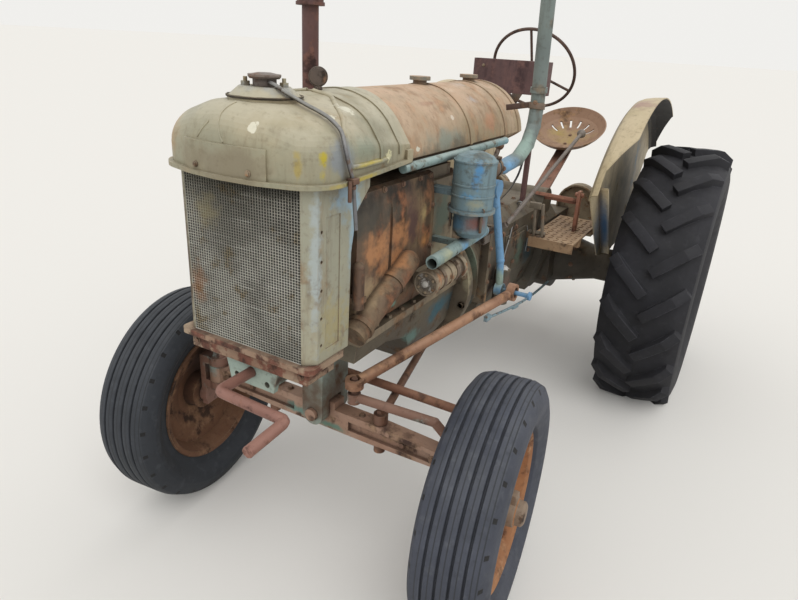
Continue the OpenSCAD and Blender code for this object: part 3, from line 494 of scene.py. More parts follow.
# The coat, cloud tone, rust and grime of each piece, as its real surface shows them, and painted shade in its corners
FINISHES: dict[str, Finish] = {
    # Folded brass tubes gone dull grey: a fine bright grid with painted shade in the holes and a painted shadow under
    # the top tank, ochre where mud dried
    "radiator_core": Honeycomb(
        "dull_brass_radiator_tubes", "c6c4ba", "a5a399", "a0937a", "1f1e1b", worn="dddbd2", rough=0.6,
        face=-1132.465,
        spots=(
            Spot((-128, -1132, 840), (26, 20, 50), "a5764c", 0.6),
            Spot((-92, -1132, 1010), (40, 20, 40), "b4ab8c", 0.6),
            # Painted shadow along the top of the core, under the top tank's overhang
            Spot((40, -1132, 1085), (170, 20, 24), "35332f", 0.4),
        ),
    ),
    # Cast iron under flaked cream paint: maroon rust with pale chips along the front lip
    "radiator_bottom": Finish(
        "flaked_cast_iron_tank", "a8957f", "8a6c58", "7d5142", "3f2a22", cover=0.5, patch=26, dust="b3a28c",
        rough=0.8,
    ),
    # Brushed cream enamel on pressed steel: chalky, with blue undercoat at the corner and fine rust runs
    "radiator_sides": Finish(
        "chalky_cream_enamel", "aca68e", "9b9a88", "97754f", "5f4a38", cover=0.24, patch=40, streak=0.45, rough=0.55,
        spots=(
            Spot((178, -1118, 940), (15, 16, 190), "a5adab", 0.8),
            Spot((-160, -1130, 905), (16, 30, 270), "4a4034", 0.3),
            Spot((176, -1020, 1075), (20, 46, 60), "93adbd", 0.6),
            Spot((176, -990, 1000), (20, 20, 190), "93adbb", 0.6),
            Spot((178, -1050, 800), (20, 60, 60), "a59b76", 0.8),
        ),
    ),
    # Pressed steel header under sun-bleached enamel: khaki paling to grey, yellow undercoat on the ribs, lichen
    "top_tank": Finish(
        "sunbleached_khaki_enamel", "aba084", "93907a", "a07f5a", "66583f", cover=0.22, patch=80, streak=0.3,
        dust="c8c2ad", dusty=0.55, rough=0.5, worn="bdb391",
        spots=(
            Spot((196, -1070, 1150), (34, 60, 44), "83888a", 0.9, 34),
            Spot((0, -1190, 1120), (200, 44, 46), "857c66", 0.9, 40),
            Spot((190, -960, 1150), (40, 90, 34), "848a76", 0.5, 30),
            Spot((150, -880, 1165), (46, 60, 50), "827e66", 0.9, 34),
            Spot((0, -1048, 1250), (84, 84, 18), "8b9092", 0.8, 20),
            Spot((205, -950, 1096), (16, 190, 7), "b5a23f", 0.3),
            Spot((188, -960, 1120), (16, 96, 5), "b8a52c", 0.4),
            Spot((158, -1146, 1130), (8, 12, 26), "a3935a", 1.0, 14),
            Spot((190, -1112, 1136), (7, 9, 28), "b0a030", 1.0, 14),
            Spot((-180, -1100, 1150), (60, 60, 60), "a88a63", 0.6, 40),
            Spot((67, -1158, 1193), (10, 14, 10), "dcd8c4", 0.8, 8),
            Spot((114, -943, 1216), (19, 22, 14), "dbd8c6", 0.8, 7),
            Spot((139, -1028, 1209), (13, 17, 12), "d8d5c2", 0.8, 7),
            Spot((176, -866, 1119), (12, 14, 13), "cfcaa4", 0.8, 7),
            Spot((-106, -1096, 1215), (6, 9, 6), "d0ccb8", 0.8, 6),
        ),
    ),
    # Cast cap with its plating gone: plum-grey iron, paler on top
    "filler_cap": Finish("bare_cast_cap", "85786f", "6c625c", "7d5f50", "3a2f2a", patch=22, dust="a39c93", rough=0.5),
    # Gauge in a steel case: brown-black face, rubbed rim
    "thermometer": Finish(
        "rusted_gauge_case", "6a5a50", "4c423c", "8a6a54", "2c2521", cover=0.35, patch=16, worn="b9a894",
    ),
    # Plain steel tube: grey zinc bloom with brown freckles
    "overflow_tube": Finish(
        "zinc_grey_tube", "8d8c88", "77777a", "7b6350", "3c342d", cover=0.22, patch=22, metal=0.35, rough=0.45,
        dust="b4b2ab",
    ),
    # Cast bracket in mint-grey enamel: even and chalky, rust at holes and edges
    "front_bracket": Finish(
        "mint_grey_enamel", "a3afa3", "8d9d94", "86664e", "4a392f", cover=0.2, patch=34, dust="b0b5a6",
        spots=(
            Spot((0, -842, 470), (130, 130, 130), "5c4838", 0.5, 40),
            Spot((72, -1080, 650), (20, 60, 26), "4c3b31"),
        ),
    ),
    # Drawn bar left out in the rain: rosy maroon rust, smooth
    "starting_handle": Finish(
        "rosy_rusted_bar", "91695d", "7c554a", "9c7060", "4a2f28", cover=0.35, patch=26, dust="a57e70",
    ),
    # Forged I-beam: brown scale, a pinkish bloom on top and teal paint left in the web
    "front_axle": Finish(
        "scaled_forging", "ab8d7a", "94725e", "9f8268", "46322a", cover=0.35, patch=40, dust="b08e78", dusty=0.5,
        spots=(
            Spot((-60, -864, 396), (90, 30, 15), "6d8a80", 0.7, 20),
            Spot((26, -864, 386), (70, 30, 12), "5e7a6c", 0.7, 20),
            Spot((-392, -864, 430), (26, 40, 30), "8aa09a", 0.6),
        ),
    ),
    # Rusted round rod: even brown
    "radius_rods": Finish("rusted_rod", "7d5a48", "664838", "8f6a52", "3d2b23", patch=30, dust="9c7c68"),
    # Forged steering knuckles: pink-brown rust with mint paint in patches
    "knuckle_left": Finish(
        "rusted_knuckle", "8a6858", "755445", "98a096", "46332b", cover=0.25, patch=30, dust="a88c7c",
    ),
    # The right one: pinker rust, with mint paint on the fork's crown
    "knuckle_right": Finish(
        "pink_rusted_knuckle", "957064", "80604f", "9caca6", "4a362e", patch=30, dust="b2948a",
        spots=(Spot((-404, -852, 420), (30, 40, 22), "9eb0aa", 0.6),),
    ),
    # Tie rod: orange-brown bar
    "tie_rod": Finish("rusted_tie_rod", "8f6650", "7a523e", "a0765a", "46302a", patch=30, dust="a88470"),
    # Drag link: orange rust, lighter and dusty along the top
    "drag_link": Finish(
        "orange_rusted_link", "a37a5e", "8d6750", "b48a68", "54382a", cover=0.35, patch=40, dust="bd977c", dusty=0.6,
    ),
    # Drop arm: sky-blue enamel above, grey-green below
    "drop_arm": Finish(
        "sky_blue_enamel", "6f9cc4", "6590b4", "8a9a92", "3c4440", cover=0.15, patch=24, dust="8fb2cf",
        spots=(Spot((258, -310, 690), (30, 40, 46), "8fa296", 0.4), Spot((258, -312, 610), (40, 40, 60), "7a8076")),
    ),
    # Pressed wheel discs: orange rust dusted with ochre in the dish
    "front_rim_left": Finish(
        "ochre_rusted_disc", "a4744e", "8c5c3c", "b58a66", "573624", cover=0.4, patch=40, dust="b28f72", rough=0.85,
    ),
    # The right one stands in the shade: plain brown rust in darker tones, painted shade
    "front_rim_right": Finish(
        "brown_rusted_disc", "74523c", "5d3f2f", "8d6a50", "38261e", cover=0.42, patch=46, dust="8f7058", rough=0.85,
    ),
    # Oil and dust baked on cast iron: ochre-grey with mint paint where it was wiped
    "engine": Finish(
        "oil_baked_block", "988a73", "7c6f5d", "8f6c4c", "3b3027", cover=0.34, patch=50, streak=0.25, dust="978a70",
        spots=(
            Spot((130, -640, 720), (20, 90, 30), "8a9a84", 0.7, 25),
            Spot((130, -470, 800), (20, 60, 50), "a39a80", 0.7, 25),
            Spot((128, -480, 900), (20, 70, 70), "6f7a6c", 0.7, 25),
        ),
    ),
    # Sump: teal paint under oil, tan dust on the flange
    "oil_pan": Finish(
        "oil_stained_sump", "6f6654", "5c5448", "806248", "2f2721", patch=50, dust="948970",
        spots=(
            Spot((141, -473, 625), (24, 90, 40), "3f6470", 0.6, 30),
            Spot((136, -640, 590), (24, 80, 24), "6f8f86", 0.7, 30),
        ),
    ),
    # Sheet cover over the inlet side: olive-brown dirt above, orange rust in the middle, purple-brown runs
    "manifold_cover": Finish(
        "streaked_cover_sheet", "7f6b50", "665041", "9a6545", "38291f", cover=0.42, patch=70, streak=0.7,
        dust="8a7a60", rough=0.7,
        spots=(
            Spot((152, -880, 985), (20, 110, 60), "48433a", 0.9, 40),
            Spot((152, -780, 1030), (20, 330, 34), "302b25", 0.8, 30),
            Spot((152, -850, 905), (20, 78, 40), "b07e56", 0.8, 24),
            Spot((152, -760, 915), (20, 70, 36), "aa7850", 0.8, 24),
            Spot((152, -620, 870), (20, 30, 26), "b98350", 0.7, 30),
            Spot((152, -690, 930), (20, 30, 90), "573f38", 0.8, 20),
            Spot((152, -640, 800), (20, 60, 60), "6b5646", 0.9, 26),
            Spot((152, -636, 945), (20, 22, 24), "a99468", 0.5, 20),
            Spot((158, -780, 850), (30, 70, 30), "b07a4e", 0.7, 30),
            Spot((160, -880, 800), (30, 70, 40), "a08a6c", 0.8, 30),
            Spot((150, -760, 736), (12, 16, 12), "7fa393", 0.4),
        ),
    ),
    # Magneto drum: chalk-white corrosion on a dark end cap, cream and orange barrel
    "magneto": Finish(
        "corroded_magneto_case", "a3957c", "8f7d68", "a5714c", "40342b", patch=26, dust="b5a88e",
        spots=(
            Spot((212, -714, 790), (40, 6, 40), "53504c", 0.1),
            Spot((210, -716, 792), (12, 8, 12), "b9b7b2", 0.7, 6),
            Spot((228, -716, 776), (7, 8, 9), "a5a39e", 0.7, 5),
            Spot((196, -716, 806), (7, 8, 8), "9a9894", 0.7, 5),
            Spot((212, -690, 790), (50, 9, 50), "a9714a", 0.4),
            Spot((212, -560, 790), (50, 20, 50), "4c4039", 0.4),
        ),
    ),
    # Side rails: powder-blue enamel worn to grey-green
    "cover_rails": Finish(
        "powder_blue_enamel", "8ca19f", "748b8a", "6f6353", "3a352f", patch=26, dust="b3c1bb", dusty=0.5, rough=0.5,
        spots=(
            Spot((240, -562, 858), (20, 26, 20), "6ea6d0", 0.4),
            Spot((228, -440, 858), (20, 70, 20), "84aecb"),
            Spot((238, -680, 858), (20, 50, 22), "a5a98c", 0.6),
            Spot((166, -150, 1080), (20, 120, 20), "7ea6b4"),
        ),
    ),
    # Oil-bath cleaner: duck-egg enamel with a bright blue patch, green lower down, red lead on the bowl
    "air_cleaner": Finish(
        "duck_egg_enamel", "728a92", "5c747e", "6b6552", "38332e", cover=0.34, patch=34, streak=0.35,
        dust="9db3b5", rough=0.5,
        spots=(
            Spot((273, -589, 1048), (16, 26, 44), "4f87b5", 0.9, 16),
            Spot((262, -596, 1000), (34, 26, 10), "5c90b4", 0.9, 16),
            Spot((205, -588, 1010), (36, 30, 70), "6f7f80", 0.5, 30),
            Spot((272, -584, 978), (26, 26, 14), "8b9080", 0.9, 20),
            Spot((272, -576, 925), (30, 30, 26), "7a4f47", 0.5, 20),
            Spot((222, -586, 925), (26, 26, 30), "4f7086", 0.5, 20),
            Spot((243, -542, 954), (70, 70, 5), "9a8a72"),
        ),
    ),
    # Air intake pipe: grey-green enamel, sky blue by the clamp
    "intake_pipe": Finish(
        "grey_green_enamel", "78837f", "697371", "857058", "3f3a32", cover=0.2, patch=34, streak=0.4, dust="9aa5a0",
        spots=(
            Spot((292, -455, 1064), (40, 46, 30), "6ea3cf", 0.4, 24),
            Spot((304, -370, 1100), (40, 60, 50), "8fa59c", 0.5, 24),
        ),
    ),
    # Exhaust: plum-red scale
    "exhaust": Finish("plum_scaled_pipe", "684843", "563a37", "755248", "352320", cover=0.4, patch=35, dust="75534d"),
    # Fuel tank sheet: sun-bleached tan on top, grey-green lower down with a painted shade along the lower side,
    # orange runs, scraps of old paint
    "fuel_tank": Finish(
        "tan_tank_sheet", "b09a80", "968669", "b0825c", "6e5440", cover=0.32, streak=0.65, dust="c9ab90", dusty=0.8,
        worn="c4ab8c",
        spots=(
            Spot((153, -520, 1120), (24, 110, 30), "8b8e80", 0.7, 30),
            Spot((146, -232, 1150), (30, 60, 40), "ac7f5e", 0.7, 30),
            # Painted shade: dark olive-grey along the lower side of the tank
            Spot((150, -540, 1078), (34, 320, 36), "6f6858", 0.9, 34),
            Spot((0, -415, 1255), (48, 48, 16), "666b68", 0.3, 10),
            Spot((0, -90, 1258), (44, 44, 14), "666b68", 0.3, 10),
            Spot((60, -356, 1230), (24, 30, 16), "d5cdb8", 0.6, 14),
            Spot((104, -289, 1203), (16, 30, 16), "a9a3a0", 0.6, 12),
            Spot((40, -250, 1236), (22, 50, 14), "b5aeab", 0.7, 12),
            Spot((134, -472, 1169), (7, 10, 8), "d8d2c4", 0.4, 6),
            Spot((157, -696, 1115), (8, 10, 6), "cfccbc", 0.4, 6),
            Spot((100, -560, 1206), (10, 60, 6), "8a6450", 0.6, 12),
        ),
    ),
    # Bell housing and gearbox: oil-dark iron with mint and ochre left on the ribs
    "clutch_housing": Finish(
        "oily_bell_housing", "7d705c", "645a4c", "8f7050", "332a23", cover=0.32, patch=44, dust="9b8f78",
        spots=(
            Spot((190, -392, 700), (20, 30, 50), "a0987e", 0.6, 20),
            Spot((150, -300, 720), (60, 60, 60), "74806f", 0.7, 30),
            Spot((150, -300, 560), (60, 60, 50), "4f6468", 0.7, 30),
        ),
    ),
    # Gearbox: blacker with oil, teal paint and maroon drips along its wall
    "gearbox": Finish(
        "oily_gearbox", "5f584b", "4b463d", "765a42", "29231e", patch=50, dust="8a7c66", dusty=0.45,
        spots=(
            Spot((138, 60, 640), (20, 60, 60), "5f5148", 0.6, 30),
            Spot((138, 200, 640), (20, 50, 70), "58675a", 0.7, 30),
            Spot((138, 320, 610), (20, 60, 60), "3c5058", 0.7, 30),
            Spot((176, -44, 570), (34, 34, 60), "6b4a42", 0.5, 20),
            Spot((176, -44, 640), (26, 26, 12), "c9c9c6", 0.4, 8),
        ),
    ),
    # Axle casting: black-brown oil cake, tan dust on top
    "rear_axle": Finish("oily_axle_casting", "575046", "464038", "6c5442", "27211c", dust="857863", dusty=0.45),
    # Instrument plate: maroon rust in fine upright runs
    "dash_plate": Finish(
        "maroon_plate_sheet", "664a48", "543b3a", "755650", "38272a", patch=50, streak=0.8, dust="7c625c",
        worn="8a706a",
    ),
    # Column tube: plain brown rust
    "steering_column": Finish("rusted_column", "6a5342", "57442f", "7d604a", "34281f", patch=40, dust="867058"),
    # Wheel rim: the plastic is gone, thin brown steel is left
    "steering_wheel": Finish("bare_wheel_rim", "5c453b", "4a3730", "755a48", "2e2320", patch=26, dust="7d6a5c"),
    "rear_rim_left": PALE_DISC,
    "rear_rim_right": replace(PALE_DISC, name="pale_green_disc_right"),
    # Fenders: flat beige coat, near-black painted shade on the inside, dark painted shade over the side plate,
    # sky-blue stay
    "fenders": Finish(
        "beige_fender_coat", "c6b696", "b3a37f", "96785c", "5c4a3a", cover=0.14, patch=80, streak=0.3,
        dust="c2b292", dusty=0.35, rough=0.55, worn="8b7a64", inside="120c0c", shade_centre=(392, 753.5, 448),
        spots=(
            Spot((430, 602, 1180), (60, 70, 30), "96706a", 0.7, 30),
            # Painted shade over the side plate's outer face, towards the tyre
            Spot((383, 760, 860), (12, 700, 620), "454036", 0.2, 40),
            Spot((395, 440, 690), (26, 160, 250), "30628e", 0.15, 40),
            Spot((383, 1000, 930), (9, 50, 220), "48667a", 0.8, 30),
        ),
    ),
    # Pan seat: bare pressed steel, orange-brown with a yellow bowl
    "seat": Finish(
        "brown_pan_seat", "96765f", "84664f", "a5825f", "54402f", patch=50, dust="a58a74", dusty=0.5,
        spots=(Spot((0, 1200, 950), (120, 110, 40), "a08c50", 0.7, 40),),
    ),
    # Leaf spring: rosy brown scale
    "seat_spring": Finish("rusted_leaf", "8b6250", "724e3f", "9c735c", "42302a", patch=44, dust="a08070"),
    # Chequered plates: sandy dust over brown steel
    "footplates": Finish(
        "sandy_chequer_plate", "9a7f62", "86694f", "a98a6a", "4a382c", patch=44, dust="bfa384", dusty=0.6,
    ),
    # Levers: steel that hands have rubbed grey, with a dull shine
    "levers": Finish(
        "grey_worn_rod", "847c74", "706862", "86644f", "3c342e", cover=0.25, patch=26, metal=0.2, dust="999088",
    ),
    # Drawbar: brown rust, smooth
    "drawbar": Finish("rusted_drawbar", "7c5c48", "684a3a", "8f6c54", "3d2c24", patch=50, dust="927860"),
}

# Sun-greyed front tyres are blue-black with a dusty bloom; the rear ones are newer and nearly black
FRONT_RUBBER = Rubber(
    "sun_greyed_tyre", "353944", "4c4f57", "8a5c40", "24262a", dust="787a7c", dusty=0.15, worn="5c606a", rough=0.7,
    hub=(479.5, -833.3, 318), lean=6, bloom="434753", notches=26, fine=(-58.4, -29.2, 0.0, 29.2, 58.4, 69.0),
)
REAR_RUBBER = Rubber(
    "black_lugged_tyre", "18181d", "27272c", "8a5c40", "141417", dust="4f4e50", dusty=0.12, worn="55565e", rough=0.75,
    hub=(618, 757.5, 468), bloom="202027",
)
TYRES: dict[str, Rubber] = {
    "front_tyre_left": FRONT_RUBBER,
    # Stands in the shade of the other one: a darker copy, painted shade
    "front_tyre_right": replace(
        FRONT_RUBBER, name="sun_greyed_tyre_right", base="292d33", shade="3c4046", deep_and_shade="1e2024", dust="696c70",
        worn="50545c", rough=0.72, hub=(-479.5, -851.7, 318), bloom="33373e",
    ),
    "rear_tyre_left": REAR_RUBBER,
    "rear_tyre_right": replace(REAR_RUBBER, name="black_lugged_tyre_right", hub=(-618, 757.5, 468)),
}

# Finishes of the added pieces alone
# Cast hub under caked grease: grey-brown, dusty
HUB_IRON = Finish("greasy_cast_hub", "877462", "6f5e50", "96745a", "3c3028", patch=20, dust="a39480")
# Bolt heads rusted through: mid brown with fine orange flecks
BOLT_RUST = Finish("rusted_bolt_heads", "7c5f4a", "66493a", "94725a", "3a2a22", patch=12, dust="98806a")
# Bolt heads under dried dust: pale tan, rust only in the corners
PALE_BOLT = Finish("dusty_bolt_heads", "95876f", "7d6c58", "9c7654", "40342a", patch=12, dust="a99b80")
# Cork gone hard: near-black ragged edge
CORK = Finish("perished_cork_gasket", "3b352c", "2c2822", "5a4a38", "1c1916", patch=8, rough=0.9)
# Spring-steel band: grey with orange freckles
BAND = Finish("rusted_steel_band", "7a6a5c", "665447", "946a4c", "362b24", patch=14, metal=0.2)
# Flat bar without its paint: even rose-orange rust, smooth
ORANGE_BAR = Finish("orange_rusted_bar", "a2705c", "8c5c4a", "b4866c", "4c3229", patch=24, dust="b98f7c")
# Pedal steel rubbed by boots: grey-brown, dull
GREY_BAR = Finish("weathered_grey_bar", "7f7566", "6a6054", "86664e", "3a322a", patch=20, dust="948a78")
# Rod in powder-blue enamel: chalky, brown where it flaked
BLUE_ROD = Finish("powder_blue_rod", "8fa7b2", "7d96a0", "8a7460", "3c3f40", cover=0.25, patch=16, dust="a5b7bd")
# Steel wire: bright zinc, hardly rusted
WIRE = Finish("zinc_wire", "a9aeb2", "8f9498", "85705f", "4a4640", cover=0.15, patch=14, metal=0.5, rough=0.4)
# Steel pipe in a black varnished sleeve: near-black, faint brown spots
BLACK_LEAD = Finish("black_sleeved_pipe", "2c2c30", "3a3a40", "4a4038", "17171a", cover=0.15, patch=14)
# Manifold iron burnt by its heat: coarse red-brown scale, no shine
IRON_LOG = Finish("burnt_manifold_iron", "74523f", "5e4234", "8d6248", "35261f", cover=0.4, patch=30, rough=0.85)


@dataclass
class Paintwork:
    """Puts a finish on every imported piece, and hands finishes to the added ones.

    Attributes:
        nodes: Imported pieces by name.
        made: Materials built so far, by finish name.
    """

    nodes: dict[str, bpy.types.Object]
    made: dict[str, bpy.types.Material] = field(default_factory=dict)

    def get(self, finish: Finish) -> bpy.types.Material:
        """Builds a finish's material once.

        Args:
            finish: The finish.

        Returns:
            Its material.
        """
        if finish.name not in self.made:
            self.made[finish.name] = finish.material()
        return self.made[finish.name]

    def dress(self) -> None:
        """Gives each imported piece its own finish."""
        for node, finish in {**FINISHES, **TYRES}.items():
            for slot in self.nodes[node].material_slots:
                slot.material = self.get(finish)
            LOG.info("dressed %s", node)


@dataclass
class Fitting:
    """What every sub-assembly shares: its paint, its body and the hand moves that shape a mesh.

    Attributes:
        paint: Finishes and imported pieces.
        body: Body that its pieces ride on.
    """

    paint: Paintwork
    body: str = "chassis"

    def start(
        self, kind: str, name: str, place: Place, along: Place = UP, scale: Place = (1, 1, 1), **sizes: float
    ) -> bpy.types.Object:
        """Adds a primitive at its place, ready to be shaped.

        Args:
            kind: Blender's word for the primitive.
            name: Name of the piece.
            place: Centre in millimetres.
            along: Direction of its own upright axis.
            scale: Stretch along its own axes.
            sizes: Its lengths in millimetres and its counts.

        Returns:
            The new piece.
        """
        bpy.ops.object.select_all(action="DESELECT")
        sizes = {key: size * MM if key in LENGTHS else size for key, size in sizes.items()}
        turn = Vector(along).to_track_quat("Z", "Y").to_euler()
        getattr(bpy.ops.mesh, f"primitive_{kind}_add")(location=[v * MM for v in place], rotation=turn, **sizes)
        piece = bpy.context.object
        piece.name = piece.data.name = name
        piece.scale = scale
        bpy.ops.object.transform_apply()
        return piece

    @contextmanager
    def editing(self, piece: bpy.types.Object, test: Test = lambda c, n: True) -> Iterator[None]:
        """Opens a mesh with only the faces that pass a test selected.

        Args:
            piece: The piece.
            test: Takes a face's centre in millimetres and its normal.

        Yields:
            Nothing; operators act on the selected faces.
        """
        bpy.ops.object.select_all(action="DESELECT")
        bpy.context.view_layer.objects.active = piece
        piece.select_set(True)
        bpy.context.tool_settings.mesh_select_mode = (False, False, True)
        mesh = piece.data
        for group in (mesh.vertices, mesh.edges, mesh.polygons):
            group.foreach_set("select", [False] * len(group))
        for face in mesh.polygons:
            face.select = test(face.center / MM, face.normal)
        bpy.ops.object.mode_set(mode="EDIT")
        yield
        bpy.ops.object.mode_set(mode="OBJECT")

    def apply(self, piece: bpy.types.Object, kind: str, **settings: object) -> None:
        """Gives a piece a modifier and applies it.

        Args:
            piece: The piece.
            kind: Blender's word for the modifier.
            settings: Attributes of the modifier.
        """
        bpy.context.view_layer.objects.active = piece
        modifier = piece.modifiers.new(kind.lower(), kind)
        for key, value in settings.items():
            setattr(modifier, key, value)
        bpy.ops.object.modifier_apply(modifier=modifier.name)

    def bevel(self, piece: bpy.types.Object, width: float, angle: float = 30) -> None:
        """Rounds a piece's edges.

        Args:
            piece: The piece.
            width: Width of the bevel in millimetres.
            angle: Least angle in degrees between faces that are rounded.
        """
        limit = {"limit_method": "ANGLE", "angle_limit": math.radians(angle)}
        self.apply(piece, "BEVEL", width=width * MM, segments=2, **limit)

    def block(self, name: str, place: Place, size: Place, along: Place = UP, width: float = 1.5) -> bpy.types.Object:
        """Makes a bar or block with rounded edges.

        Args:
            name: Name of the piece.
            place: Centre in millimetres.
            size: Its three sides in millimetres.
            along: Direction of its third side.
            width: Width of the rounding in millimetres.

        Returns:
            The block.
        """
        piece = self.start("cube", name, place, along, size, size=1)
        self.bevel(piece, width)
        return piece

    def pin(
        self, name: str, place: Place, along: Place, size: tuple[float, float], sides: int = 16, width: float = 1.5
    ) -> bpy.types.Object:
        """Makes a round or six-sided pin with rounded ends.

        Args:
            name: Name of the piece.
            place: Centre in millimetres.
            along: Axis.
            size: Radius and length in millimetres.
            sides: Number of its sides.
            width: Width of the rounding in millimetres.

        Returns:
            The pin.
        """
        radius, depth = size
        piece = self.start("cylinder", name, place, along, vertices=sides, radius=radius, depth=depth)
        self.bevel(piece, width)
        return piece

    def ring(
        self, name: str, place: Place, along: Place, radius: float, section: tuple[float, float]
    ) -> bpy.types.Object:
        """Rolls a band or hoop: an open tube wall given thickness, then rounded at its edges.

        Args:
            name: Name of the piece.
            place: Centre in millimetres.
            along: Axis.
            radius: Radius to the section's middle.
            section: Half thickness and half width in millimetres.

        Returns:
            The hoop.
        """
        thick, half = section
        wall = {"vertices": 40, "radius": radius, "depth": half * 2, "end_fill_type": "NOTHING"}
        hoop = self.start("cylinder", name, place, along, **wall)
        self.apply(hoop, "SOLIDIFY", thickness=thick * 2 * MM, offset=0)
        self.bevel(hoop, min(thick, half) * 0.6)
        return hoop

    def tube(self, name: str, points: Sequence[Place], radius: float) -> bpy.types.Object:
        """Bends a round bar or pipe through points: a path given thickness, then made a mesh.

        Args:
            name: Name of the piece.
            points: Points in millimetres that the bend is drawn towards.
            radius: Radius in millimetres.

        Returns:
            The bar.
        """
        bpy.ops.object.select_all(action="DESELECT")
        bpy.ops.curve.primitive_nurbs_path_add()
        bar = bpy.context.object
        bar.name = bar.data.name = name
        bar.data.splines.clear()
        path = bar.data.splines.new("NURBS")
        path.points.add(len(points) - 1)
        for knot, point in zip(path.points, points):
            knot.co = (*(v * MM for v in point), 1.0)
        path.order_u = min(3, len(points))
        path.use_endpoint_u = True
        path.resolution_u = 5
        bar.data.bevel_depth = radius * MM
        bar.data.bevel_resolution = 2
        bar.data.use_fill_caps = True
        bpy.ops.object.convert(target="MESH")
        bar = bpy.context.object
        with self.editing(bar):
            bpy.ops.mesh.remove_doubles(threshold=MERGE)
            bpy.ops.mesh.normals_make_consistent(inside=False)
        return bar

    def soften(self, node: str, name: str, width: float, angle: float) -> None:
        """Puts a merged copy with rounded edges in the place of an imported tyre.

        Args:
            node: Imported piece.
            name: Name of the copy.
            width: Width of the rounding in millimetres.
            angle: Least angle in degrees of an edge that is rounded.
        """
        copy = bpy.data.objects.new(name, self.paint.nodes[node].data.copy())
        bpy.context.scene.collection.objects.link(copy)
        with self.editing(copy):
            bpy.ops.mesh.remove_doubles(threshold=MERGE)
            bpy.ops.mesh.dissolve_limited(angle_limit=math.radians(0.5))
        self.bevel(copy, width, angle)
        self.hand_over(copy, TYRES[node], node, 40)
        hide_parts(node)

    def join(self, name: str, pieces: Sequence[bpy.types.Object]) -> bpy.types.Object:
        """Joins pieces of one finish to one.

        Args:
            name: Name of the joined piece.
            pieces: Its parts.

        Returns:
            The joined piece.
        """
        bpy.ops.object.select_all(action="DESELECT")
        for piece in pieces:
            piece.select_set(True)
        bpy.context.view_layer.objects.active = pieces[0]
        bpy.ops.object.join()
        pieces[0].name = pieces[0].data.name = name
        return pieces[0]

    def copies(self, name: str, master: bpy.types.Object, spots: Sequence[tuple[Vector, Place]]) -> bpy.types.Object:
        """Copies a master that stands at the origin to many places, and joins the copies.

        Args:
            name: Name of the joined piece.
            master: Piece that stands at the origin and points up.
            spots: Place in metres and direction of each copy.

        Returns:
            The joined piece.
        """
        made = []
        for place, along in spots:
            copy = bpy.data.objects.new(name, master.data.copy())
            bpy.context.scene.collection.objects.link(copy)
            turn = Vector(along).to_track_quat("Z", "Y").to_matrix().to_4x4()
            copy.data.transform(Matrix.Translation(place) @ turn)
            made.append(copy)
        bpy.data.objects.remove(master)
        return self.join(name, made)

    def hit(self, node: str, origin: Place, aim: Place) -> tuple[Vector, Vector]:
        """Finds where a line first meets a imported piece.

        Args:
            node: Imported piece.
            origin: Start of the line in millimetres.
            aim: Its direction.

        Returns:
            The place in metres and the surface's normal.
        """
        found, place, normal, _ = self.paint.nodes[node].ray_cast(Vector(origin) * MM, Vector(aim))
        if not found:
            raise ValueError(f"nothing of {node} from {origin} towards {aim}")
        return place, normal

    def bolt(self, size: float) -> bpy.types.Object:
        """Models one bolt: a hexagon head with a chamfered top on a round washer.

        Args:
            size: Radius of the hexagon in millimetres.

        Returns:
            The bolt, at the origin and pointing up.
        """
        tall = size * 0.7
        head = self.start("cylinder", "bolt", (0, 0, tall / 2 + 1), vertices=6, radius=size, depth=tall)
        with self.editing(head, lambda c, n: n.z > FACING):
            bpy.ops.mesh.inset(thickness=size * 0.16 * MM, depth=size * 0.12 * MM)
        washer = self.start("cylinder", "washer", (0, 0, 0.6), vertices=14, radius=size * 1.3, depth=2.2)
        with self.editing(washer, lambda c, n: n.z > FACING):
            bpy.ops.mesh.inset(thickness=size * 0.1 * MM, depth=0.5 * MM)
        return self.join("bolt", [head, washer])

    def bolts(self, name: str, node: str, size: float, lines: Lines, finish: Finish = BOLT_RUST) -> None:
        """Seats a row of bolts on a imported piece.

        Args:
            name: Name of the row.
            node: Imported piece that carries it.
            size: Radius of a hexagon in millimetres.
            lines: For each bolt a start in millimetres and a direction; it sits where the line meets the piece.
            finish: Its finish.
        """
        row = self.copies(name, self.bolt(size), [self.hit(node, *line) for line in lines])
        self.hand_over(row, finish, node)

    def grid(self, xs: Sequence[float], ys: Sequence[float], zs: Sequence[float], aim: Place) -> Lines:
        """Returns lines that run one way from each mix of x, y and z."""
        return [(start, aim) for start in product(xs, ys, zs)]

    def circle(self, centre: Place, radius: float, turns: Sequence[float], across: Place, aim: Place) -> Lines:
        """Lists the lines of an upright bolt circle.

        Args:
            centre: Centre that the lines start round, in millimetres.
            radius: Radius of the circle in millimetres.
            turns: Angle of each bolt in degrees, up from the level direction.
            across: Level direction in the circle's plane.
            aim: Direction of the bolts.

        Returns:
            A start and a direction for each bolt.
        """
        angles = [math.radians(turn) for turn in turns]
        spokes = [Vector(across) * math.cos(a) + Vector(UP) * math.sin(a) for a in angles]
        return [(tuple(Vector(centre) + spoke * radius), aim) for spoke in spokes]

    def hand_over(self, piece: bpy.types.Object, finish: Finish, slot: str, angle: float = 35) -> None:
        """Smooths, paints and mounts a finished piece.

        Args:
            piece: The piece.
            finish: Its finish.
            slot: Imported piece that it belongs to; not used.
            angle: Edges sharper than this, in degrees, stay crisp.
        """
        bpy.ops.object.select_all(action="DESELECT")
        piece.select_set(True)
        bpy.context.view_layer.objects.active = piece
        bpy.ops.object.shade_smooth_by_angle(angle=math.radians(angle))
        piece.data.materials.clear()
        piece.data.materials.append(self.paint.get(finish))
        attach(piece, self.body)
        LOG.info("made %s: %d faces", piece.name, len(piece.data.polygons))


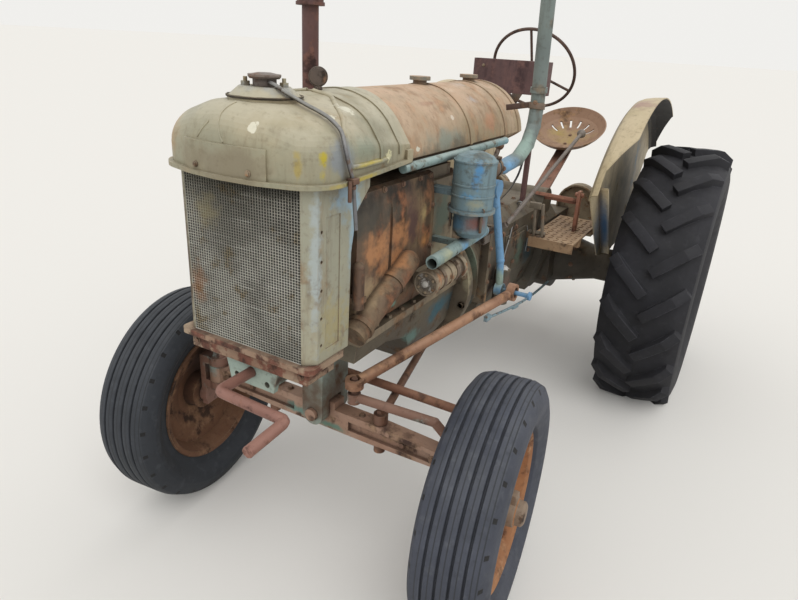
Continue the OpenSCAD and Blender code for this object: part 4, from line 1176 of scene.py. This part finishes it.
@dataclass
class RadiatorCore(Fitting):
    """Open honeycomb of the radiator, in place of the plain slotted core.

    Attributes:
        width: Width in millimetres.
        depth: Depth in millimetres.
        low: Height of its lower edge.
        high: Height of its upper edge.
        front: Place of its front face along y.
        columns: Tubes across.
        rows: Tubes up.
        wall: Half the wall between two tubes.
        edge: Width of the border whose tubes stay straight.
    """

    width: float = 300.0
    depth: float = 70.0
    low: float = 726.0
    high: float = 1091.7
    front: float = -1132.465
    columns: int = 44
    rows: int = 62
    wall: float = 1.35
    edge: float = 4.0

    def build(self) -> None:
        """Models the tubes as real holes, with their rims pushed about a little."""
        core = self.start(
            "grid", "honeycomb_core", (0, self.front, (self.low + self.high) / 2), (0, -1, 0),
            (self.width, self.high - self.low, 1), x_subdivisions=self.columns, y_subdivisions=self.rows, size=1,
        )
        with self.editing(core):
            bpy.ops.mesh.extrude_region_move(TRANSFORM_OT_translate={"value": (0, self.depth * MM, 0)})
        with self.editing(core):
            bpy.ops.mesh.normals_make_consistent(inside=False)
        with self.editing(core, lambda c, n: abs(n.y) > FACING):
            bpy.ops.mesh.inset(thickness=self.wall * MM, depth=-6 * MM, use_individual=True)
        wide, low, high = self.width / 2 - self.edge, self.low + self.edge, self.high - self.edge
        with self.editing(core, lambda c, n: c.y < self.front + 0.5 and abs(c.x) < wide and low < c.z < high):
            bpy.ops.transform.vertex_random(offset=1.1 * MM, seed=5)
        self.hand_over(core, FINISHES["radiator_core"], "radiator_core", 20)
        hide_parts("radiator_core")


@dataclass
class TankTrim(Fitting):
    """Moulded ribs, gasket, rivets and overflow pipe of the radiator's top tank.

    Attributes:
        rib: Radius of a moulded rib in millimetres.
        seam: Radius of a casting seam.
    """

    rib: float = 5.6
    seam: float = 1.8

    def line(self, name: str, points: Sequence[Place], radius: float) -> bpy.types.Object:
        """Lays a raised line on the tank.

        Args:
            name: Name of the line.
            points: Points near the surface.
            radius: Its radius; the lower half is sunk.

        Returns:
            The line.
        """
        dense = [Vector(a).lerp(Vector(b), t / 3) for a, b in zip(points, points[1:]) for t in range(3)]
        tank = self.paint.nodes["top_tank"]
        laid = [tank.closest_point_on_mesh(Vector(point) * MM)[1] / MM for point in (*dense, points[-1])]
        return self.tube(name, laid, radius)

    def build(self) -> None:
        """Builds the ribs, seams, gasket, rivets, clip and pipe."""
        rib = (
            (8, -905, 1241), (60, -913, 1233), (100, -952, 1221), (146, -995, 1201), (172, -1026, 1186),
            (193, -1045, 1156), (197, -1046, 1136), (195, -1032, 1122), (190, -990, 1118), (182, -900, 1115),
            (177, -868, 1115),
        )
        enamel = FINISHES["top_tank"]
        for side in Side:
            path = [(x * side.value, y, z) for x, y, z in rib]
            self.hand_over(self.line(f"tank_rib_{side.word}", path, self.rib), enamel, "top_tank", ROUND)
        seams = (
            (
                (1, -1128, 1228), (-9, -1145, 1217), (-13, -1155, 1208), (-9, -1167, 1191), (2, -1175, 1170),
                (9, -1177, 1161),
            ),
            ((-37, -1162, 1193), (-50, -1167, 1178), (-62, -1171, 1163)),
        )
        lines = [self.line("seam", points, self.seam) for points in seams]
        self.hand_over(self.join("tank_seams", lines), enamel, "top_tank", ROUND)
        gasket = self.ring("filler_gasket", (0, -1048.5, 1236.5), UP, 72.5, (2.2, 2.2))
        with self.editing(gasket):
            bpy.ops.transform.vertex_random(offset=0.8 * MM, seed=3)
        self.hand_over(gasket, CORK, "top_tank", ROUND)
        self.bolts("panel_rivets", "top_tank", 5, self.grid((-66, 66), (-1300,), (1112,), BACK), PALE_BOLT)
        self.overflow()

    def overflow(self) -> None:
        """Bends the overflow pipe over the tank's shoulder, and clips it to the side."""
        path = (
            (22, -1060, 1262), (44, -1072, 1262), (66, -1067, 1248), (80, -1051, 1237), (106, -1052, 1228),
            (133, -1052, 1220), (157, -1053, 1211), (172, -1052, 1201), (186, -1052, 1189), (200, -1062, 1166),
            (206, -1062, 1146), (207, -1056, 1127), (208, -1046, 1105), (209, -1038, 1050), (206, -1027, 1000),
        )
        pipe = self.tube("overflow_pipe", path, 4)
        self.hand_over(pipe, FINISHES["overflow_tube"], "overflow_tube", ROUND)
        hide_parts("overflow_tube")
        clip = [
            self.block("clip", (209, -1046, 1100), (18, 20, 12)),
            self.ring("hoop", (208, -1046, 1088), UP, 5.6, (1.6, 4)),
            self.pin("screw", (212, -1060, 1082), UP, (4, 40), 12, 1),
        ]
        self.hand_over(self.join("overflow_clip", clip), BOLT_RUST, "overflow_tube")


@dataclass
class EngineTrim(Fitting):
    """Nuts, studs, plugs, fuel pipe and exhaust manifold of the engine.

    Attributes:
        front: Front of the block along y, in millimetres.
        rear: Rear of the block.
        wall: Half width of the block.
        ports: Places of the exhaust ports along y.
    """

    front: float = -925.0
    rear: float = -396.0
    wall: float = 128.0
    ports: tuple[float, ...] = (-860, -725, -590, -455)

    def build(self) -> None:
        """Builds the fastenings, the manifold and the fuel pipe."""
        step = (self.rear - self.front) / 8
        ys = [self.front + step * (k + 0.5) for k in range(8)]
        cover = (-905, -820, -735, -650, -592)
        self.bolts("head_bolts_right", "engine", 8, self.grid((-400,), ys, (1024,), LEFT))
        self.bolts("block_bolts_right", "engine", 7, self.grid((-400,), ys[::2], (760,), LEFT))
        self.bolts("cover_studs", "manifold_cover", 6, self.grid((400,), cover, (1036,), RIGHT))
        self.bolts("cover_side_bolts", "manifold_cover", 6, self.grid((400,), (-590,), (960, 850, 740), RIGHT))
        self.bolts("core_plugs", "engine", 15, self.grid((-400,), (-860, -500), (850,), LEFT), PALE_BOLT)
        self.manifold()
        path = (
            (150, -420, 1062), (168, -420, 1040), (172, -420, 980), (172, -424, 920), (160, -430, 890),
            (128, -430, 884),
        )
        self.hand_over(self.tube("fuel_pipe", path, 4), WIRE, "fuel_tank", ROUND)

    def manifold(self) -> None:
        """Models the exhaust manifold under the stack: a log with stepped ends and four flared ports."""
        z = 945
        log = self.start("cylinder", "log", (-172, -658, z), BACK, vertices=24, radius=24, depth=470)
        with self.editing(log, lambda c, n: abs(n.y) > FACING):
            bpy.ops.mesh.inset(thickness=6 * MM, depth=7 * MM)
        parts = [log]
        for y in self.ports:
            port = self.start("cylinder", "port", (-150, y, z), LEFT, vertices=20, radius=20, depth=44)
            with self.editing(port, lambda c, n: n.x > FACING):
                bpy.ops.mesh.inset(thickness=MM)
                flare = (-self.wall * MM, y * MM, z * MM)
                bpy.ops.transform.resize(value=(1, 1.5, 1.5), center_override=flare)
                bpy.ops.mesh.extrude_region_move(TRANSFORM_OT_translate={"value": (4 * MM, 0, 0)})
            parts.append(port)
        self.hand_over(self.join("exhaust_manifold", parts), IRON_LOG, "exhaust", 40)


@dataclass
class MagnetoTrim(Fitting):
    """End cap and straps of the drum at the engine's side.

    Attributes:
        centre: Its front face in millimetres.
        radius: Radius of its front.
        straps: Places of the straps along y.
    """

    centre: Place = (212.0, -712.5, 790.0)
    radius: float = 34.0
    straps: tuple[float, ...] = (-660, -585)

    def build(self) -> None:
        """Builds the rim, the boss, the screws and two straps."""
        x, y, z = self.centre
        boss = self.start("cylinder", "boss", (x, y - 2, z), (0, -1, 0), vertices=20, radius=9, depth=6)
        with self.editing(boss, lambda c, n: n.y < -FACING):
            bpy.ops.mesh.inset(thickness=3 * MM, depth=2 * MM)
        rings = [
            self.ring("rim", (x, y - 0.5, z), BACK, self.radius - 3, (2.4, 2.4)),
            self.ring("inner", (x, y, z), BACK, self.radius * 0.55, (1.6, 1.6)),
        ]
        self.hand_over(self.join("magneto_cap_rings", [*rings, boss]), FINISHES["magneto"], "magneto")
        screws = self.circle((x, y - 60, z), 23, range(30, 390, 60), LEFT, BACK)
        self.bolts("magneto_cap_screws", "magneto", 3.4, screws, PALE_BOLT)
        straps = [self.ring("strap", (x, where, z), BACK, 31, (1.6, 7)) for where in self.straps]
        lug = self.block("lug", (x + 22, self.straps[-1], z + 26), (12, 14, 14), (0.6, 0, 0.8))
        self.hand_over(self.join("magneto_straps", [*straps, lug]), BAND, "magneto")


@dataclass
class AirTrim(Fitting):
    """Bands, clips and clamps of the air cleaner and its pipe.

    Attributes:
        centre: Axis of the cleaner in millimetres.
        radius: Radius of its case.
        bands: Heights of the bands.
        clips: Angles of the clips in degrees.
    """

    centre: tuple[float, float] = (243.0, -542.5)
    radius: float = 55.0
    bands: tuple[float, ...] = (994, 1022, 1080)
    clips: tuple[float, ...] = (-35, 85, 205)

    def build(self) -> None:
        """Builds the bands, the clips, the clamps and the stay."""
        x, y = self.centre
        bands = [self.ring("band", (x, y, z), UP, self.radius + 0.4, (1.3, 3)) for z in self.bands]
        self.hand_over(self.join("cleaner_bands", bands), FINISHES["air_cleaner"], "air_cleaner", ROUND)
        clips = []
        for turn in self.clips:
            c, s = math.cos(math.radians(turn)), math.sin(math.radians(turn))
            clips.append(self.block("clip", (x + 52 * c, y + 52 * s, 930), (5, 9, 52), width=1.2))
            clips.append(self.ring("eye", (x + 56 * c, y + 56 * s, 962), (-s, c, 0), 5.5, (1.4, 1.4)))
        self.hand_over(self.join("cleaner_clips", clips), BAND, "air_cleaner")
        along = (0.47, 0.88, 0.05)
        clamps = [
            self.ring("clamp", (273, -497, 1059.5), along, 21.5, (1.8, 6)),
            self.ring("clamp", (280, -484, 1060), along, 20.5, (1.5, 3.5)),
            self.block("ear", (285, -492, 1082), (10, 12, 16), (0.1, 0, 1)),
            self.ring("clamp", (302, -296, 1204), (0, 0.087, 1), 20.5, (1.6, 8)),
        ]
        self.hand_over(self.join("intake_clamps", clamps), BAND, "intake_pipe")
        stay = self.block("intake_stay", (252, -298, 1200), (5, 16, 76), (1, -0.02, 0.2))
        self.hand_over(stay, FINISHES["steering_wheel"], "intake_pipe")
        bolts = [((302, -400, 1214), BACK), ((400, -490, 1060), RIGHT)]
        self.bolts("intake_clamp_bolts", "intake_pipe", 5, bolts)


@dataclass
class DrivelineTrim(Fitting):
    """Bolts, plates, covers, pedals and brake rod along the bell housing, gearbox and rear axle.

    Attributes:
        flange_z: Height of the bell flange's centre in millimetres.
        flange_r: Radius of its bolt circle.
        axle: Place of the rear axle along y, and its height.
    """

    flange_z: float = 660.0
    flange_r: float = 184.0
    axle: tuple[float, float] = (757.5, 468.0)

    def build(self) -> None:
        """Builds everything along the driveline."""
        flange = self.circle((0, -600, self.flange_z), self.flange_r, range(-15, 346, 30), LEFT, BACK)
        self.bolts("bell_flange_bolts", "clutch_housing", 9, flange, PALE_BOLT)
        joint = [line for s in (-1, 1) for line in self.grid((s * 300,), (-120,), (600, 720, 660), (-s, 0, 0))]
        self.bolts("gearbox_joint_bolts", "clutch_housing", 7, joint)
        right = self.grid((-400,), (-60, 60, 180), (600, 730), LEFT)
        self.bolts("gearbox_plate_bolts_right", "gearbox", 8, right)
        left = self.grid((400,), (20, 150, 330), (600, 735), RIGHT)
        self.bolts("gearbox_plate_bolts_left", "gearbox", 8, left)
        self.bolts("gearbox_lid_bolts", "gearbox", 7, self.grid((-70, 70), (160, 280, 400), (1100,), DOWN))
        for side in Side:
            s = side.value
            tube = self.circle((s * 400, *self.axle), 96, range(0, 360, 45), BACK, (-s, 0, 0))
            self.bolts(f"axle_tube_bolts_{side.word}", "rear_axle", 8, tube)
            self.brake_cover(side)
        for side in Side:
            self.plate(side)
        self.pedals()
        self.brake_rod()

    def plate(self, side: Side) -> None:
        """Models the raised inspection plate on a wall of the gearbox.

        Args:
            side: Side of the tractor.
        """
        s = side.value
        lid = self.start("cube", f"gearbox_plate_{side.word}", (s * 139, 150, 665), scale=(8, 200, 110), size=1)
        with self.editing(lid, lambda c, n: n.x * s > FACING):
            bpy.ops.mesh.inset(thickness=16 * MM, depth=0.0)
            bpy.ops.mesh.extrude_region_move(TRANSFORM_OT_translate={"value": (s * 4 * MM, 0, 0)})
        self.bevel(lid, 2)
        self.hand_over(lid, FINISHES["gearbox"], "gearbox")

    def brake_cover(self, side: Side) -> None:
        """Models the curved cover over a brake band.

        Args:
            side: Side of the tractor.
        """
        y, z = 757, 720
        arch = self.start(
            "cylinder", f"brake_cover_{side.word}", (side.value * 206, y, z), BACK, vertices=32, radius=88, depth=60
        )
        with self.editing(arch):
            bpy.ops.mesh.bisect(plane_co=(0, y * MM, z * MM), plane_no=UP, clear_inner=True, use_fill=True)
        with self.editing(arch, lambda c, n: n.z < -FACING):
            bpy.ops.mesh.extrude_region_move(TRANSFORM_OT_translate={"value": (0, 0, -130 * MM)})
        with self.editing(arch, lambda c, n: n.y < -FACING):
            bpy.ops.mesh.inset(thickness=8 * MM, depth=0.0)
            bpy.ops.mesh.extrude_region_move(TRANSFORM_OT_translate={"value": (0, 20 * MM, 0)})
        self.bevel(arch, 1.5)
        self.hand_over(arch, PALE_BOLT, "rear_axle", 30)

    def pedals(self) -> None:
        """Models two pedal posts on the footplate and the double bar behind them."""
        posts = [
            self.block("post", (186, 218, 752), (16, 10, 122), (-0.06, 0, 1)),
            self.block("post", (216, 216, 756), (14, 10, 128), (-0.1, 0, 1)),
            self.block("pad", (184, 208, 812), (44, 12, 24), (0, -0.3, 1)),
            self.pin("pin", (200, 222, 706), LEFT, (8, 62)),
        ]
        self.hand_over(self.join("pedal_posts", posts), GREY_BAR, "footplates")
        tilt = (0.02, 0.19, 1)
        bars = [
            self.block("bar", (206, 404, 814), (184, 7, 14), tilt, 1.2),
            self.block("bar", (206, 420, 800), (184, 7, 14), tilt, 1.2),
            self.block("end", (294, 396, 770), (12, 34, 162)),
            self.pin("pin", (294, 396, 836), LEFT, (9, 34)),
        ]
        self.hand_over(self.join("pedal_quadrant", bars), ORANGE_BAR, "footplates")

    def brake_rod(self) -> None:
        """Models the long brake rod with its turnbuckle and fork."""
        rod = [
            self.tube("rod", ((184, -160, 488), (184, 100, 436), (184, 400, 404), (176, 570, 398)), 5),
            self.pin("buckle", (184, 120, 433), (0, 1, -0.14), (9, 46), 6, 2),
            self.block("fork", (184, -166, 490), (14, 34, 20)),
        ]
        self.hand_over(self.join("brake_rod", rod), BLUE_ROD, "gearbox")


@dataclass
class Cockpit(Fitting):
    """Rivets, chequer tread and control rods round the seat, and the starting handle.

    Attributes:
        tread: Rows and columns of raised lozenges on a footplate.
        corner: Place of the first lozenge in millimetres, on the left.
        pitch: Distance between two lozenges along x and y.
    """

    tread: tuple[int, int] = (14, 6)
    corner: Place = (194.0, 212.0, 693.0)
    pitch: tuple[float, float] = (27.0, 28.0)

    def build(self) -> None:
        """Builds the treads, the rivets, the rods and the handle."""
        for side in Side:
            self.chequer(side)
        self.bolts("dash_rivets", "dash_plate", 4.5, self.grid((-104, 104), (0,), (1216, 1282), BACK), PALE_BOLT)
        self.crank()
        self.bolts("seat_bolts", "seat", 7, self.grid((0,), (1230, 1160), (1300,), DOWN))
        box = self.grid((-46, 46), (-268, -132), (1000,), DOWN)
        self.bolts("steering_box_bolts", "steering_column", 7, box)
        path = ((96, 270, 1000), (92, 268, 930), (70, 250, 860), (60, 150, 820), (60, 60, 800))
        self.hand_over(self.tube("throttle_rod", path, 4), BLACK_LEAD, "levers", ROUND)
        start = (112, 250, 800)
        wires = [
            self.tube("wire", (start, (128, 150, 770), (148, 60, 700), (160, -10, 664), (172, -40, 640)), 2.6),
            self.tube("wire", (start, (126, 262, 740), (141, 290, 700), (142, 300, 640), (138, 300, 600)), 2.6),
            self.ring("coil", (114, 240, 796), (0.3, 0.9, 0.2), 13, (2.6, 2.6)),
        ]
        self.hand_over(self.join("twisted_wires", wires), WIRE, "gearbox", ROUND)

    def crank(self) -> None:
        """Bends the starting handle from one round bar, with soft elbows."""
        path = (
            (0, -1012.5, 655), (0, -1180, 655), (0, -1217, 655), (22, -1219.5, 655), (164, -1224, 655),
            (186, -1224.5, 655), (187, -1250, 654), (190, -1337, 651),
        )
        bar = self.tube("bent_crank", path, 12)
        self.hand_over(bar, FINISHES["starting_handle"], "starting_handle", ROUND)
        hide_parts("starting_handle")

    def chequer(self, side: Side) -> None:
        """Raises rows of lozenges on a footplate, each turned against its neighbours.

        Args:
            side: Side of the tractor.
        """
        x, y, z = self.corner
        across, along = self.pitch
        cells = list(product(*(range(count) for count in self.tread)))
        pieces = []
        for odd, slant in ((1, 45), (0, -45)):
            shape = {"vertices": 6, "radius": 10, "depth": 3.2}
            lozenge = self.start("cylinder", "lozenge", (0, 0, 0.6), UP, (0.36, 1, 1), **shape)
            with self.editing(lozenge):
                bpy.ops.transform.rotate(value=math.radians(slant), orient_axis="Z", center_override=(0, 0, 0))
            with self.editing(lozenge, lambda c, n: n.z > FACING):
                bpy.ops.mesh.inset(thickness=1.2 * MM, depth=0.6 * MM)
            chosen = [(side.value * (x + j * across), y + i * along, z) for i, j in cells if (i + j) % 2 == odd]
            pieces.append(self.copies("tread", lozenge, [(Vector(place) * MM, UP) for place in chosen]))
        self.hand_over(self.join(f"chequer_tread_{side.word}", pieces), FINISHES["footplates"], "footplates")


@dataclass
class FenderTrim(Fitting):
    """Bolts that hold a fender's stay and plate.

    Attributes:
        side: Side of the tractor.
        seats: Place along y and height of each bolt in millimetres.
    """

    side: Side = Side.LEFT
    seats: tuple[tuple[float, float], ...] = ((420, 760), (520, 660), (640, 900), (860, 900), (760, 1080))

    def build(self) -> None:
        """Seats the bolts."""
        s = self.side.value
        lines = [((s * 200, y, z), (s, 0, 0)) for y, z in self.seats]
        self.bolts(f"fender_bolts_{self.side.word}", "fenders", 7, lines)


@dataclass
class RearWheel(Fitting):
    """Tyre with moulded lugs and disc bolts of a rear wheel.

    Attributes:
        side: Side of the tractor.
        hub: Place of the axle along y, and its height, in millimetres.
    """

    side: Side = Side.LEFT
    hub: tuple[float, float] = (757.5, 468.0)

    def build(self) -> None:
        """Builds the softened tyre and the bolts."""
        s, word = self.side.value, self.side.word
        self.soften(f"rear_tyre_{word}", f"lugged_tyre_{word}", 7, 28)
        turns = [22.5 + 45 * k for k in range(8)]
        for name, radius, size in (("hub", 92, 10), ("disc", 216, 11)):
            ring = self.circle((s * 900, *self.hub), radius, turns, BACK, (-s, 0, 0))
            self.bolts(f"rear_{name}_bolts_{word}", f"rear_rim_{word}", size, ring)


@dataclass
class FrontWheel(Fitting):
    """Softened tyre, hub cap and disc nuts of a front wheel.

    Attributes:
        side: Side of the tractor.
        hub: Centre of the wheel in millimetres.
        lean: Turn of the wheel about the upright axis in degrees.
    """

    side: Side = Side.LEFT
    hub: Place = (479.5, -833.3, 318.0)
    lean: float = 6.0

    def build(self) -> None:
        """Builds the hub cap, the tyre and the nuts."""
        word = self.side.word
        turn = Matrix.Rotation(math.radians(self.lean), 3, "Z")
        out = turn @ Vector((self.side.value, 0, 0))
        self.hub_cap(out)
        self.soften(f"front_tyre_{word}", f"ribbed_tyre_{word}", 1.6, 25)
        start = Vector(self.hub) + out * 200
        nuts = self.circle(start, 104, range(30, 390, 60), turn @ Vector(BACK), -out)
        self.bolts(f"front_disc_nuts_{word}", f"front_rim_{word}", 8, nuts, PALE_BOLT)

    def hub_cap(self, out: Vector) -> None:
        """Models the cast hub that stands out of the dish, its nose stepped in.

        Args:
            out: Direction of the axle, away from the tractor.
        """
        at = Vector(self.hub)
        cap = self.start("cylinder", "cap", at + out * 40, out, vertices=28, radius=38, depth=72)
        with self.editing(cap, lambda c, n: n.dot(out) > FACING):
            bpy.ops.mesh.inset(thickness=7 * MM, depth=2 * MM)
            bpy.ops.mesh.extrude_region_move(TRANSFORM_OT_translate={"value": out * 16 * MM})
            bpy.ops.mesh.inset(thickness=8 * MM, depth=6 * MM)
        self.bevel(cap, 2.5)
        lug = self.block("lug", at + out * 66 + Vector((0, -6, 38)), (22, 26, 40))
        word = self.side.word
        self.hand_over(self.join(f"hub_cap_{word}", [cap, lug]), HUB_IRON, f"front_rim_{word}")


@dataclass
class FrontAxleTrim(Fitting):
    """Bolts of the front axle, its bracket and the lower tank.

    Attributes:
        beam: Height of the beam's middle in millimetres.
    """

    beam: float = 404.0

    def build(self) -> None:
        """Seats the bolts and studs."""
        ends = self.grid((-340, -250, 250, 340), (-1200,), (self.beam,), BACK)
        self.bolts("axle_end_bolts", "front_axle", 8, ends)
        self.bolts("axle_top_studs", "front_axle", 7, self.grid((-120, 120), (-842,), (700,), DOWN))
        self.bolts("bracket_bolts", "front_bracket", 8, [((s * 300, -1062, 660), (-s, 0, 0)) for s in (-1, 1)])
        self.bolts("lower_tank_bolts", "radiator_bottom", 6, self.grid((-148, 148), (-1400,), (696,), BACK))




@dataclass
class Studio:
    """Pale floor, soft light and the camera.

    Attributes:
        eye: Camera's place in metres.
        azimuth: Turn about the upright axis in degrees, from straight ahead of the tractor.
        elevation: Angle that the camera looks down, in degrees.
        roll: Turn about the line of sight in degrees.
        lens: Focal length in millimetres on a 36 mm wide frame.
    """

    eye: Place = (0.86045, -2.016895, 1.3487)
    azimuth: float = 28.99
    elevation: float = 22.63
    roll: float = 3.28
    lens: float = 28.02

    def camera(self) -> None:
        """Sets up the camera at the photograph's viewing angle."""
        data = bpy.data.cameras.new("camera")
        data.lens = self.lens
        data.sensor_width = 36.0
        data.clip_end = 400.0
        camera = bpy.data.objects.new("camera", data)
        turn = (
            Matrix.Rotation(math.radians(self.azimuth), 4, "Z")
            @ Matrix.Rotation(math.radians(90 - self.elevation), 4, "X")
            @ Matrix.Rotation(math.radians(self.roll), 4, "Z")
        )
        camera.matrix_world = Matrix.Translation(self.eye) @ turn
        bpy.context.scene.collection.objects.link(camera)
        bpy.context.scene.camera = camera

    def floor(self) -> None:
        """Lays the plain pale floor, which looks as light as the sky behind it but keeps its shadows."""
        bpy.ops.object.select_all(action="DESELECT")
        bpy.ops.mesh.primitive_plane_add(size=300, location=(0, 0, 0))
        floor = bpy.context.object
        floor.name = "floor"
        mat = bpy.data.materials.new("plain_pale_floor")
        mat.use_nodes = True
        tree = mat.node_tree
        tree.nodes.clear()
        shader = add(tree, "BsdfDiffuse", {"Color": linear("dedcd8")})
        path = add(tree, "LightPath").node.outputs
        seen = add(tree, "Math", {0: path["Is Camera Ray"], 1: 0.07}, operation="MULTIPLY")
        glow = add(tree, "Emission", {"Color": linear("f4f4f2"), "Strength": seen})
        both = add(tree, "AddShader", {0: shader, 1: glow})
        add(tree, "OutputMaterial", {"Surface": both})
        floor.data.materials.append(mat)

    def sky(self) -> None:
        """Lights the object from a pale even sky, and shows near-white behind it."""
        world = bpy.data.worlds.new("pale_studio")
        bpy.context.scene.world = world
        world.use_nodes = True
        tree = world.node_tree
        tree.nodes.clear()
        path = add(tree, "LightPath").node.outputs
        seen = add(tree, "Math", {0: path["Is Camera Ray"], 1: path["Is Glossy Ray"]}, operation="MAXIMUM")
        seen = add(tree, "Math", {0: seen, 1: path["Is Transmission Ray"]}, operation="MAXIMUM")
        strength = add(tree, "MapRange", {"Value": seen, "To Min": 0.8, "To Max": 0.985})
        back = add(tree, "Background", {"Color": linear("f2f1ee"), "Strength": strength})
        add(tree, "OutputWorld", {"Surface": back})

    def lamps(self) -> None:
        """Adds broad soft daylight from the front left and a weaker one from behind."""
        table = (
            # name, direction that the light comes from, strength, spread in degrees
            ("key_light", (0.7, -0.75, 1.3), 1.1, 50),
            ("fill_light", (-0.8, -0.9, 0.7), 0.35, 70),
            ("back_light", (0.3, 1.0, 0.9), 0.35, 70),
        )
        for name, source, strength, spread in table:
            data = bpy.data.lights.new(name, "SUN")
            data.energy = strength
            data.angle = math.radians(spread)
            lamp = bpy.data.objects.new(name, data)
            lamp.matrix_world = (-Vector(source)).to_track_quat("-Z", "Y").to_matrix().to_4x4()
            bpy.context.scene.collection.objects.link(lamp)

    def build(self) -> None:
        """Builds the whole studio."""
        self.camera()
        self.floor()
        self.sky()
        self.lamps()
        LOG.info("studio built")


def main() -> None:
    """Builds the tractor's looks piece by piece."""
    logging.basicConfig(level=logging.INFO, format="%(name)s: %(message)s")
    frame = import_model()
    bpy.context.scene.view_settings.view_transform = "Standard"
    paint = Paintwork(frame["nodes"])
    paint.dress()
    Studio().build()
    parts: list[Fitting] = [
        RadiatorCore(paint),
        TankTrim(paint),
        EngineTrim(paint),
        MagnetoTrim(paint),
        AirTrim(paint),
        DrivelineTrim(paint),
        Cockpit(paint),
        FrontAxleTrim(paint),
        FrontWheel(paint, "front_wheel_left"),
        FrontWheel(paint, "front_wheel_right", Side.RIGHT, (-479.5, -851.7, 318.0)),
    ]
    for side in Side:
        parts.append(FenderTrim(paint, side=side))
        parts.append(RearWheel(paint, f"rear_wheel_{side.word}", side))
    for part in parts:
        part.build()


if __name__ == "__main__":
    main()
